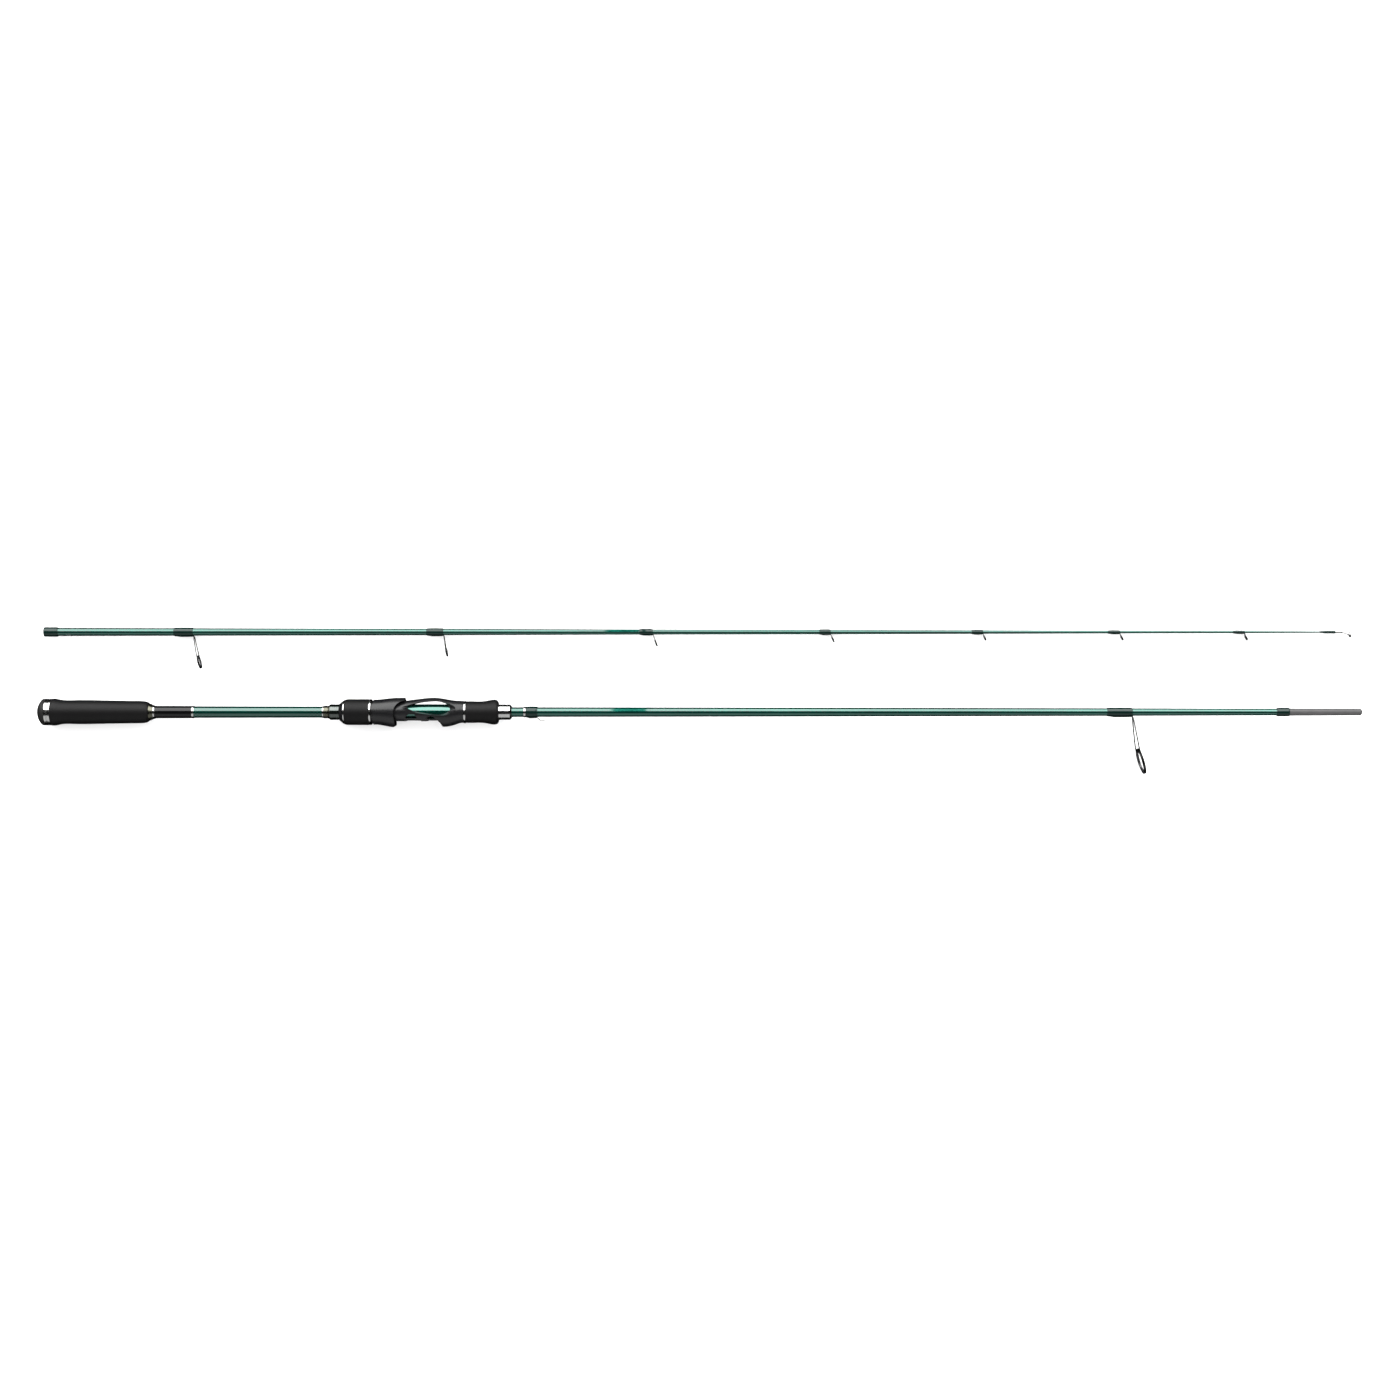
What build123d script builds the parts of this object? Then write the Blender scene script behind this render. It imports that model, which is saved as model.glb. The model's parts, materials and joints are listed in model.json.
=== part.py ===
from build123d import *
from collections import namedtuple
import math
import os

os.makedirs("parts", exist_ok=True)

# A two-section spinning rod, apart for carrying, lying on its side with its guides towards -Y.
# +X runs from the butt to the tip and the floor is Z = 0.
# Each section has its own plane: local x is the distance from that section's rear end along
# its axis, local y is the side away from the guides, and local z is nearly up.

# ---------------------------------------------------------------- driving dimensions, mm
BUTT_LENGTH = 1260.0
TIP_OPEN_END = -625.4
AXIS_SPACING = 76.4
GRIP_FLARE = 12.85
FERRULE_WRAP = 4.6

SEAT_TUBE = 7.4
SEAT_TUBE_BORE = 6.4
THREAD_PITCH = 2.0
THREAD_DEPTH = 0.35
RUNNING_GAP = 0.05
FERRULE_LENGTH = 68.0
FERRULE_PIN = 3.20
FERRULE_BORE = 3.23

CAP_LENGTH = 8.4
CAP_RADIUS = 12.7

# Blank tapers, as (distance, radius).
BUTT_BLANK = [
    (CAP_LENGTH, 5.6),
    (150.0, 5.55),
    (270.0, 5.3),
    (451.0, 4.65),
    (630.0, 4.45),
    (820.0, 4.1),
    (1020.0, 3.7),
    (1190.3, 3.5),
]
TIP_BLANK = [
    (0.0, 3.95),
    (15.0, 3.9),
    (243.0, 3.35),
    (386.0, 3.05),
    (576.0, 2.45),
    (747.0, 2.15),
    (890.0, 1.75),
    (1023.0, 1.35),
    (1147.0, 1.1),
    (1227.0, 0.72),
    (1238.0, 0.7),
]

# A line guide: its winding's two ends, its ring's distance, drop below the axis, outer
# diameter and tilt in degrees, and its frame's thickness and half-width at the root.
GuideSize = namedtuple("GuideSize", "start end along drop diameter tilt thickness root")
GUIDES = {
    "guide_1": GuideSize(1017.0, 1041.0, 1049.5, 46.7, 25.0, 16.0, 1.1, 2.6),
    "guide_2": GuideSize(123.8, 142.2, 147.8, 28.6, 12.8, 14.0, 0.9, 2.4),
    "guide_3": GuideSize(364.5, 380.6, 383.6, 19.1, 9.0, 11.5, 0.8, 2.0),
    "guide_4": GuideSize(567.6, 580.4, 583.4, 10.5, 6.8, 20.0, 0.7, 1.5),
    "guide_5": GuideSize(739.3, 750.0, 752.4, 7.2, 5.6, 24.0, 0.6, 1.3),
    "guide_6": GuideSize(884.7, 895.6, 897.5, 5.8, 5.2, 25.0, 0.6, 1.2),
    "guide_7": GuideSize(1015.1, 1026.5, 1028.6, 5.8, 5.2, 27.0, 0.6, 1.1),
    "guide_8": GuideSize(1134.7, 1145.6, 1147.4, 5.7, 5.2, 25.0, 0.6, 1.0),
}
# A frame's legs stand this much outside its ring.
FRAME_SPREAD = 0.15
TIP_TOP_AT, TIP_TOP_DROP, TIP_TOP_RING, TIP_TOP_TILT = 1246.5, 2.6, 4.9, 14.0


def ring_sizes(diameter):
    """A guide ring's radii, frame outside, seat and line hole, and its frame's length."""
    outer = diameter / 2
    seat = outer - 0.30 - 0.035 * diameter
    hole = seat - 0.42 - 0.034 * diameter
    length = 0.9 + 0.055 * diameter
    return outer, seat, hole, length


# ---------------------------------------------------------------- the two sections' planes
# The part's box is centred on Y = 0, from the large guide's ring to the ferrule winding.
stripper, second = GUIDES["guide_1"], GUIDES["guide_2"]
stripper_outer, _, _, stripper_length = ring_sizes(stripper.diameter)
stripper_lean = math.radians(stripper.tilt)
STRIPPER_REACH = (
    stripper.drop + stripper_outer * math.cos(stripper_lean) + stripper_length / 2 * math.sin(stripper_lean)
)
BUTT_Y = (STRIPPER_REACH - AXIS_SPACING - FERRULE_WRAP) / 2

# The tip section lies on its largest ring's frame and on its tip-top.
TIP_REST_REAR = second.diameter / 2 + FRAME_SPREAD + 0.02
TIP_REST_FRONT = TIP_TOP_RING / 2 + 0.02
TIP_SLOPE = math.atan2(TIP_REST_REAR - TIP_REST_FRONT, TIP_TOP_AT - second.along)
TIP_Z = TIP_REST_REAR + second.along * math.tan(TIP_SLOPE)

BUTT = Plane(origin=(-BUTT_LENGTH / 2, BUTT_Y, GRIP_FLARE), x_dir=(1, 0, 0), z_dir=(0, 0, 1))
TIP = Plane(
    origin=(TIP_OPEN_END, BUTT_Y + AXIS_SPACING, TIP_Z),
    x_dir=(math.cos(TIP_SLOPE), 0, -math.sin(TIP_SLOPE)),
    z_dir=(math.sin(TIP_SLOPE), 0, math.cos(TIP_SLOPE)),
)


# ---------------------------------------------------------------- helpers
def save(piece, label):
    """Labels a finished piece and writes it as its own node."""
    piece.part.label = label
    export_step(piece.part, f"parts/{label}.step")


def axis_of(section):
    return Axis(section.origin, section.x_dir)


def across(section, along):
    """The plane square to a section's axis: local x is the section's y, local y is its z."""
    origin = section.from_local_coords(Vector(along, 0, 0))
    return Plane(origin=origin, x_dir=section.y_dir, z_dir=section.x_dir)


def turn(section, outline, mode=Mode.ADD):
    """Revolves a closed outline of (distance, radius) points about the section's axis."""
    with BuildSketch(section) as profile:
        with BuildLine():
            Polyline(*outline, close=True)
        make_face()
    revolve(profile.sketch, axis=axis_of(section), mode=mode)


def turn_smooth(section, bore, curve, mode=Mode.ADD):
    """Revolves a smooth outer curve down to a straight bore of the radius given."""
    with BuildSketch(section) as profile:
        with BuildLine():
            Spline(*curve)
            Polyline(curve[-1], (curve[-1][0], bore), (curve[0][0], bore), curve[0])
        make_face()
    revolve(profile.sketch, axis=axis_of(section), mode=mode)


def radius_at(blank, along):
    """A blank's outer radius at a distance along its section."""
    for (start, first), (end, last) in zip(blank, blank[1:]):
        if along <= end:
            return first + (last - first) * (along - start) / (end - start)
    return blank[-1][1]


def oval(section, along, top, bottom, half_width):
    """An ellipse square to the axis, from top above it to bottom below it."""
    with BuildSketch(across(section, along)) as face:
        with Locations(((top - bottom) / 2, 0)):
            Ellipse((top + bottom) / 2, half_width)
    return face.sketch


def blank_form(section, blank, rear):
    """A blank's outer form as one solid bar, which everything fitted over it is cut with."""
    with BuildPart() as form:
        turn(section, [(rear, 0), (rear, blank[0][1]), *blank, (blank[-1][0], 0)])
    return form.part


def sleeve(section, form, outline, label):
    """A ring or winding turned to its outline and seated on the blank's taper."""
    start, end = outline[0][0], outline[-1][0]
    with BuildPart() as piece:
        turn(section, [(start, 0), *outline, (end, 0)])
        add(form, mode=Mode.SUBTRACT)
    save(piece, label)


# ---------------------------------------------------------------- butt section: blank and cap
butt_form = blank_form(BUTT, BUTT_BLANK, CAP_LENGTH - 0.1)
PIN_START = BUTT_BLANK[-1][0]
PIN_END = PIN_START + FERRULE_LENGTH
BLANK_BORE_REAR, BLANK_BORE_FRONT = 4.6, 2.3

with BuildPart() as butt_blank:
    turn(BUTT, [(CAP_LENGTH, 0), *BUTT_BLANK, (PIN_START, 0)])
    turn(
        BUTT,
        [
            (PIN_START, 0),
            (PIN_START, FERRULE_PIN),
            (PIN_END, FERRULE_PIN),
            (PIN_END + 0.4, FERRULE_PIN - 0.4),
            (PIN_END + 0.4, 0),
        ],
    )
    turn(
        BUTT,
        [
            (CAP_LENGTH, 0),
            (CAP_LENGTH, BLANK_BORE_REAR),
            (PIN_END + 0.4, BLANK_BORE_FRONT),
            (PIN_END + 0.4, 0),
        ],
        mode=Mode.SUBTRACT,
    )
save(butt_blank, "butt_blank")

with BuildPart() as ferrule_end_plug:
    with BuildSketch(BUTT):
        with BuildLine():
            Polyline(
                (PIN_END + 0.4, 2.7),
                (PIN_END + 0.4, BLANK_BORE_FRONT),
                (PIN_END - 4.0, BLANK_BORE_FRONT),
                (PIN_END - 4.0, 0),
                (BUTT_LENGTH, 0),
            )
            TangentArc((BUTT_LENGTH, 0), (PIN_END + 0.4, 2.7), tangent=(0, 1))
        make_face()
    revolve(axis=axis_of(BUTT))
save(ferrule_end_plug, "ferrule_end_plug")

with BuildPart() as butt_cap:
    with BuildSketch(BUTT):
        with BuildLine():
            TangentArc((0, 0), (4.8, CAP_RADIUS - 0.6), tangent=(0, 1))
            Polyline(
                (4.8, CAP_RADIUS - 0.6),
                (5.8, CAP_RADIUS),
                (CAP_LENGTH, CAP_RADIUS),
                (CAP_LENGTH, 4.55),
                (23.0, 4.55),
                (23.0, 0),
                (0, 0),
            )
        make_face()
    revolve(axis=axis_of(BUTT))
save(butt_cap, "butt_cap")

sleeve(
    BUTT,
    butt_form,
    [(8.4, 12.4), (8.7, 12.6), (10.5, 12.6), (10.8, 12.1), (11.6, 12.1), (11.9, 12.6), (13.9, 12.6)],
    "butt_cap_ring",
)

# ---------------------------------------------------------------- butt section: rear grip
with BuildPart() as rear_grip:
    turn_smooth(
        BUTT,
        0,
        [
            (13.9, 12.7),
            (16.0, GRIP_FLARE),
            (22.0, 11.8),
            (35.0, 11.35),
            (59.0, 11.2),
            (97.0, 10.6),
            (103.0, 10.1),
            (106.0, 8.6),
            (106.5, 7.8),
        ],
    )
    add(butt_form, mode=Mode.SUBTRACT)
save(rear_grip, "rear_grip")

sleeve(BUTT, butt_form, [(106.5, 8.0), (107.6, 8.0), (110.3, 6.6)], "rear_grip_check")
sleeve(BUTT, butt_form, [(110.3, 6.2), (110.5, 6.35), (111.7, 6.35), (111.9, 6.2)], "rear_check_trim")
sleeve(BUTT, butt_form, [(111.9, 5.75), (112.6, 5.9), (146.2, 5.85), (146.9, 5.7)], "rear_black_wrap")
sleeve(BUTT, butt_form, [(146.9, 5.75), (147.2, 5.9), (148.8, 5.9), (149.1, 5.7)], "rear_wrap_trim")

# ---------------------------------------------------------------- butt section: reel seat
sleeve(BUTT, butt_form, [(271.0, 5.5), (271.2, 5.65), (272.3, 5.65)], "seat_check_trim")
sleeve(
    BUTT,
    butt_form,
    [(272.3, 5.95), (276.5, 5.95), (277.3, 6.3), (278.0, 7.0), (278.4, 7.0)],
    "seat_rear_check",
)

SEAT_REAR, SEAT_FRONT = 278.4, 405.6
THREAD_START, THREAD_TURNS = 280.0, 22

with BuildPart() as seat_tube:
    turn(
        BUTT,
        [
            (SEAT_REAR, SEAT_TUBE_BORE),
            (SEAT_REAR, SEAT_TUBE - 0.3),
            (SEAT_REAR + 0.3, SEAT_TUBE),
            (SEAT_FRONT, SEAT_TUBE),
            (SEAT_FRONT, SEAT_TUBE_BORE),
        ],
    )
    for number in range(THREAD_TURNS):
        root = THREAD_START + number * THREAD_PITCH
        turn(
            BUTT,
            [
                (root - 0.45, SEAT_TUBE + 0.1),
                (root - 0.1, SEAT_TUBE - THREAD_DEPTH),
                (root + 0.1, SEAT_TUBE - THREAD_DEPTH),
                (root + 0.45, SEAT_TUBE + 0.1),
            ],
            mode=Mode.SUBTRACT,
        )
save(seat_tube, "seat_tube")

sleeve(BUTT, butt_form, [(284.0, SEAT_TUBE_BORE), (304.0, SEAT_TUBE_BORE)], "seat_rear_arbor")
sleeve(BUTT, butt_form, [(376.0, SEAT_TUBE_BORE), (398.0, SEAT_TUBE_BORE)], "seat_front_arbor")

# The reel seat's outer form, as (distance, top, bottom, half-width).
SEAT_BODY_REAR = 329.0
SEAT_FORM = [
    (SEAT_BODY_REAR, 8.75, 8.75, 8.75),
    (336.0, 8.75, 8.75, 8.75),
    (343.0, 9.7, 9.3, 9.2),
    (350.0, 10.8, 10.0, 9.7),
    (361.4, 12.3, 11.5, 10.2),
    (374.8, 13.6, 13.2, 10.6),
    (386.0, 12.8, 14.0, 10.9),
    (396.4, 11.1, 12.3, 10.9),
    (SEAT_FRONT, 10.45, 10.4, 10.45),
]
# The side window: the opening beside the tube, and the wider dish that it sits in.
WINDOW_HOLE = [
    (353.0, 5.6),
    (363.0, 8.6),
    (375.5, 10.0),
    (386.0, 9.0),
    (391.4, 5.0),
    (388.5, 0.4),
    (381.0, -1.6),
    (368.0, 0.0),
    (358.0, 2.4),
]
WINDOW_DISH = [
    (341.5, 4.2),
    (361.0, 10.4),
    (375.5, 12.4),
    (391.0, 10.6),
    (403.0, 4.6),
    (394.0, -2.4),
    (382.0, -4.0),
    (366.0, -2.4),
    (351.0, 0.0),
]
# The dish's floor and rim, as heights above the section's plane.
DISH_FLOOR, DISH_RIM = 5.5, 13.0
FOOT_BED, FOOT_PAD = -8.0, -8.65
# The inside of the fixed hood, as (distance, bottom, half-width).
POCKET = [(380.0, 13.4, 9.7), (386.0, 13.05, 9.7), (392.0, 12.0, 9.6)]


def window(height, outline):
    with BuildSketch(BUTT.offset(height)) as face:
        with BuildLine():
            Spline(*outline, periodic=True)
        make_face()
    return face.sketch


def fixed_hood_pocket(along, bottom, half_width):
    """The crescent between the foot's bed and the inside of the fixed hood."""
    with BuildSketch(across(BUTT, along)) as face:
        Ellipse(bottom, half_width)
        with Locations((FOOT_BED, 0)):
            Rectangle(20, 40, align=(Align.MAX, Align.CENTER), mode=Mode.INTERSECT)
    return face.sketch


with BuildPart() as seat_body:
    loft([oval(BUTT, *station) for station in SEAT_FORM])
    turn(
        BUTT,
        [(320.0, 0), (320.0, SEAT_TUBE), (SEAT_FRONT, SEAT_TUBE), (SEAT_FRONT, 0)],
        mode=Mode.SUBTRACT,
    )
    # The side windows, dished towards the outer skin on both sides.
    extrude(window(-DISH_FLOOR, WINDOW_HOLE), amount=2 * DISH_FLOOR, mode=Mode.SUBTRACT)
    loft([window(DISH_FLOOR, WINDOW_HOLE), window(DISH_RIM, WINDOW_DISH)], mode=Mode.SUBTRACT)
    loft([window(-DISH_FLOOR, WINDOW_HOLE), window(-DISH_RIM, WINDOW_DISH)], mode=Mode.SUBTRACT)
    # Two small arched windows below, between the rails and the bed.
    with BuildSketch(BUTT):
        with BuildLine():
            Polyline((357.0, -1.9), (359.4, -2.1), (361.8, -5.9), (350.4, -5.9))
            ThreePointArc((350.4, -5.9), (352.2, -3.0), (357.0, -1.9))
        make_face()
        with BuildLine():
            Line((379.0, -6.4), (370.4, -6.4))
            ThreePointArc((370.4, -6.4), (374.7, -4.1), (379.0, -6.4))
        make_face()
    extrude(amount=15.0, both=True, mode=Mode.SUBTRACT)
    # The foot's bed, its two pads, and the raked face of the fixed hood.
    with BuildSketch(BUTT):
        with BuildLine():
            Polyline(
                (320.0, -8.75),
                (331.0, -8.75),
                (331.5, FOOT_BED),
                (341.0, FOOT_BED),
                (341.0, FOOT_PAD),
                (350.6, FOOT_PAD),
                (351.6, FOOT_BED),
                (364.8, FOOT_BED),
                (366.0, FOOT_PAD),
                (370.4, FOOT_PAD),
                (371.6, FOOT_BED),
                (381.2, FOOT_BED),
                (383.6, -10.2),
                (386.0, -15.0),
                (386.0, -20.0),
                (320.0, -20.0),
                close=True,
            )
        make_face()
    extrude(amount=15.0, both=True, mode=Mode.SUBTRACT)
    loft([fixed_hood_pocket(*station) for station in POCKET], mode=Mode.SUBTRACT)
save(seat_body, "seat_body")

# ---------------------------------------------------------------- sliding hood
HOOD_FORM = [
    (319.8, 12.0, 12.0, 12.0),
    (326.0, 12.1, 12.3, 12.1),
    (333.0, 12.9, 13.6, 12.3),
    (339.0, 13.45, 14.5, 12.6),
    (352.0, 13.5, 14.6, 12.6),
]
HOOD_CAVITY = [
    (326.5, 9.35, 9.4, 9.35),
    (331.0, 9.8, 11.7, 10.4),
    (336.0, 10.4, 13.2, 11.0),
    (354.0, 11.1, 13.4, 11.3),
]
NECK, COLLAR, NUT_BORE = 9.1, 10.2, SEAT_TUBE + RUNNING_GAP

with BuildPart() as hood:
    loft([oval(BUTT, *station) for station in HOOD_FORM])
    turn(BUTT, [(318.4, 0), (318.4, 10.8), (319.8, 10.8), (319.8, 0)])
    turn(
        BUTT,
        [
            (318.0, 0),
            (318.0, NECK + 0.2),
            (319.6, NECK + 0.2),
            (319.6, COLLAR + 0.2),
            (321.6, COLLAR + 0.2),
            (321.6, SEAT_TUBE + 0.2),
            (324.4, SEAT_TUBE + 0.2),
            (324.4, 9.1),
            (326.6, 9.1),
            (326.6, 0),
        ],
        mode=Mode.SUBTRACT,
    )
    loft([oval(BUTT, *station) for station in HOOD_CAVITY], mode=Mode.SUBTRACT)
    # The mouth: nearly square below, swept forward above into a lip.
    with BuildSketch(BUTT):
        with BuildLine():
            Polyline((338.3, -20.0), (338.4, -14.4), (340.6, -12.6))
            Spline((340.6, -12.6), (339.6, -4.0), (340.0, 3.0), (342.4, 7.2), (345.8, 9.8), (349.7, 10.6))
            Polyline((349.7, 10.6), (349.7, 20.0), (360.0, 20.0), (360.0, -20.0), (338.3, -20.0))
        make_face()
    extrude(amount=15.0, both=True, mode=Mode.SUBTRACT)
save(hood, "hood")

# ---------------------------------------------------------------- hood nut
NUT_REAR, NUT_GRIP_REAR, NUT_GRIP_FRONT, NUT_FRONT = 287.5, 292.4, 316.0, 318.2
NUT_CORE = 9.6

with BuildPart() as nut_core:
    turn(
        BUTT,
        [
            (NUT_REAR, NUT_BORE),
            (NUT_REAR, 8.1),
            (290.7, 10.7),
            (290.7, NUT_CORE),
            (NUT_FRONT, NUT_CORE),
            (NUT_FRONT, NECK),
            (319.8, NECK),
            (319.8, COLLAR),
            (321.4, COLLAR),
            (321.4, NUT_BORE),
        ],
    )
save(nut_core, "nut_core")

with BuildPart() as nut_rear_ring:
    turn(BUTT, [(290.7, NUT_CORE), (290.7, 10.75), (291.4, 11.3), (292.4, 11.55), (292.4, NUT_CORE)])
save(nut_rear_ring, "nut_rear_ring")

with BuildPart() as nut_grip:
    turn(
        BUTT,
        [
            (NUT_GRIP_REAR, NUT_CORE),
            (NUT_GRIP_REAR, 11.6),
            (294.0, 12.2),
            (296.0, 12.3),
            (315.2, 12.3),
            (NUT_GRIP_FRONT, 12.1),
            (NUT_GRIP_FRONT, NUT_CORE),
        ],
    )
save(nut_grip, "nut_grip")

with BuildPart() as nut_front_ring:
    turn(
        BUTT,
        [
            (NUT_GRIP_FRONT, NUT_CORE),
            (NUT_GRIP_FRONT, 12.15),
            (316.4, 12.3),
            (317.6, 12.2),
            (NUT_FRONT, 11.6),
            (NUT_FRONT, NUT_CORE),
        ],
    )
save(nut_front_ring, "nut_front_ring")

# ---------------------------------------------------------------- foregrip and hook keeper
FOREGRIP_REAR, FOREGRIP_FRONT = 407.6, 438.4
sleeve(
    BUTT,
    butt_form,
    [(SEAT_FRONT, 10.4), (405.9, 10.6), (407.3, 10.6), (FOREGRIP_REAR, 10.4)],
    "foregrip_ring",
)

with BuildPart() as foregrip:
    turn_smooth(
        BUTT,
        0,
        [
            (FOREGRIP_REAR, 10.1),
            (409.5, 10.25),
            (416.0, 10.2),
            (424.0, 10.3),
            (431.0, 11.5),
            (434.6, 11.9),
            (437.4, 11.0),
            (FOREGRIP_FRONT, 9.4),
        ],
    )
    add(butt_form, mode=Mode.SUBTRACT)
save(foregrip, "foregrip")

sleeve(
    BUTT,
    butt_form,
    [(FOREGRIP_FRONT, 7.1), (438.8, 7.25), (449.4, 7.25), (451.0, 5.7)],
    "foregrip_check",
)
sleeve(BUTT, butt_form, [(462.2, 4.9), (462.4, 5.05), (464.0, 5.1), (464.2, 5.0)], "keeper_trim")

KEEPER_WIRE = 0.5
KEEPER_HALF_WIDTH = 1.3
keeper_foot = -radius_at(BUTT_BLANK, 470.0) - KEEPER_WIRE - 0.03
keeper_drop = keeper_foot - 3.0

with BuildPart() as hook_keeper:
    with BuildLine(BUTT) as keeper_path:
        FilletPolyline(
            (470.0, keeper_foot, KEEPER_HALF_WIDTH),
            (475.4, keeper_foot, KEEPER_HALF_WIDTH),
            (478.5, keeper_drop, KEEPER_HALF_WIDTH),
            (481.6, keeper_drop, KEEPER_HALF_WIDTH),
            (481.6, keeper_drop, -KEEPER_HALF_WIDTH),
            (478.5, keeper_drop, -KEEPER_HALF_WIDTH),
            (475.4, keeper_foot, -KEEPER_HALF_WIDTH),
            (470.0, keeper_foot, -KEEPER_HALF_WIDTH),
            radius=[2.2, 2.2, 1.1, 1.1, 2.2, 2.2],
        )
    with BuildSketch(Plane(origin=keeper_path.line @ 0, z_dir=keeper_path.line % 0)):
        Circle(KEEPER_WIRE)
    sweep()
save(hook_keeper, "hook_keeper")


def winding(section, form, blank, start, end, foot, thread, covers, label):
    """A thread winding over a guide's foot: concentric at its rear, lower over the foot."""
    rear = radius_at(blank, start)
    front = radius_at(blank, end)
    ramp = min(7.0, 0.35 * (end - start))
    stations = [
        (start, rear + 0.08, rear + 0.08),
        (start + 0.25 * ramp, rear + 0.8 * thread, rear + thread),
        (start + ramp, rear + thread, rear + thread + foot),
        (end - 1.2, front + thread, front + thread + foot),
        (end, front + 0.5 * thread, front + 0.6 * thread + foot),
    ]
    with BuildPart() as piece:
        loft(
            [oval(section, at, top, bottom, (top + bottom) / 2) for at, top, bottom in stations],
            ruled=True,
        )
        add(form, mode=Mode.SUBTRACT)
        add(covers, mode=Mode.SUBTRACT)
    save(piece, label)


winding(
    BUTT,
    butt_form,
    BUTT_BLANK,
    start=464.2,
    end=475.5,
    foot=2 * KEEPER_WIRE,
    thread=0.35,
    covers=hook_keeper.part,
    label="keeper_wrap",
)
sleeve(
    BUTT,
    butt_form,
    [(1178.4, 3.6), (1179.6, 4.1), (1189.6, 4.15), (PIN_START, 3.9)],
    "male_ferrule_wrap",
)

# ---------------------------------------------------------------- tip section: blank and ferrule
tip_form = blank_form(TIP, TIP_BLANK, -0.1)
TIP_BLANK_END = TIP_BLANK[-1][0]
FERRULE_SOCKET = FERRULE_LENGTH + 3.0
WRAP_LIP = 0.7

with BuildPart() as tip_blank:
    turn(TIP, [(0, 0), *TIP_BLANK, (TIP_BLANK_END, 0)])
    turn(
        TIP,
        [
            (0, 0),
            (0, FERRULE_BORE),
            (FERRULE_SOCKET, FERRULE_BORE),
            (FERRULE_SOCKET + 1.5, 2.6),
            (576.0, 1.5),
            (1100.0, 0.45),
            (1100.0, 0),
        ],
        mode=Mode.SUBTRACT,
    )
save(tip_blank, "tip_blank")

with BuildPart() as female_ferrule_wrap:
    with BuildSketch(TIP):
        with BuildLine():
            RadiusArc((0, FERRULE_WRAP - WRAP_LIP), (WRAP_LIP, FERRULE_WRAP), WRAP_LIP)
            Polyline(
                (WRAP_LIP, FERRULE_WRAP),
                (12.4, 4.55),
                (13.6, 4.1),
                (13.6, 0),
                (0, 0),
                (0, FERRULE_WRAP - WRAP_LIP),
            )
        make_face()
    revolve(axis=axis_of(TIP))
    add(tip_form, mode=Mode.SUBTRACT)
save(female_ferrule_wrap, "female_ferrule_wrap")


# ---------------------------------------------------------------- line guides
def ring_plane(section, along, drop, tilt):
    """The plane of a guide's ring: its normal runs along the line's path."""
    lean = math.radians(tilt)
    normal = section.x_dir * math.cos(lean) + section.y_dir * math.sin(lean)
    up = section.y_dir * math.cos(lean) - section.x_dir * math.sin(lean)
    origin = section.from_local_coords(Vector(along, -drop, 0))
    return Plane(origin=origin, x_dir=up, z_dir=normal)


def ring_insert(plane, diameter, label):
    """The polished ceramic ring, with a rounded bore for the line."""
    outer, seat, hole, length = ring_sizes(diameter)
    half = length / 2 + 0.15
    profile_plane = Plane(origin=plane.origin, x_dir=plane.z_dir, z_dir=plane.y_dir)
    with BuildPart() as ring:
        with BuildSketch(profile_plane):
            with BuildLine():
                Polyline((-half, -seat + 0.25), (-half, -seat), (half, -seat), (half, -seat + 0.25))
                ThreePointArc((half, -seat + 0.25), (0, -hole), (-half, -seat + 0.25))
            make_face()
        revolve(axis=Axis(plane.origin, plane.z_dir))
    save(ring, label)


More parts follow.
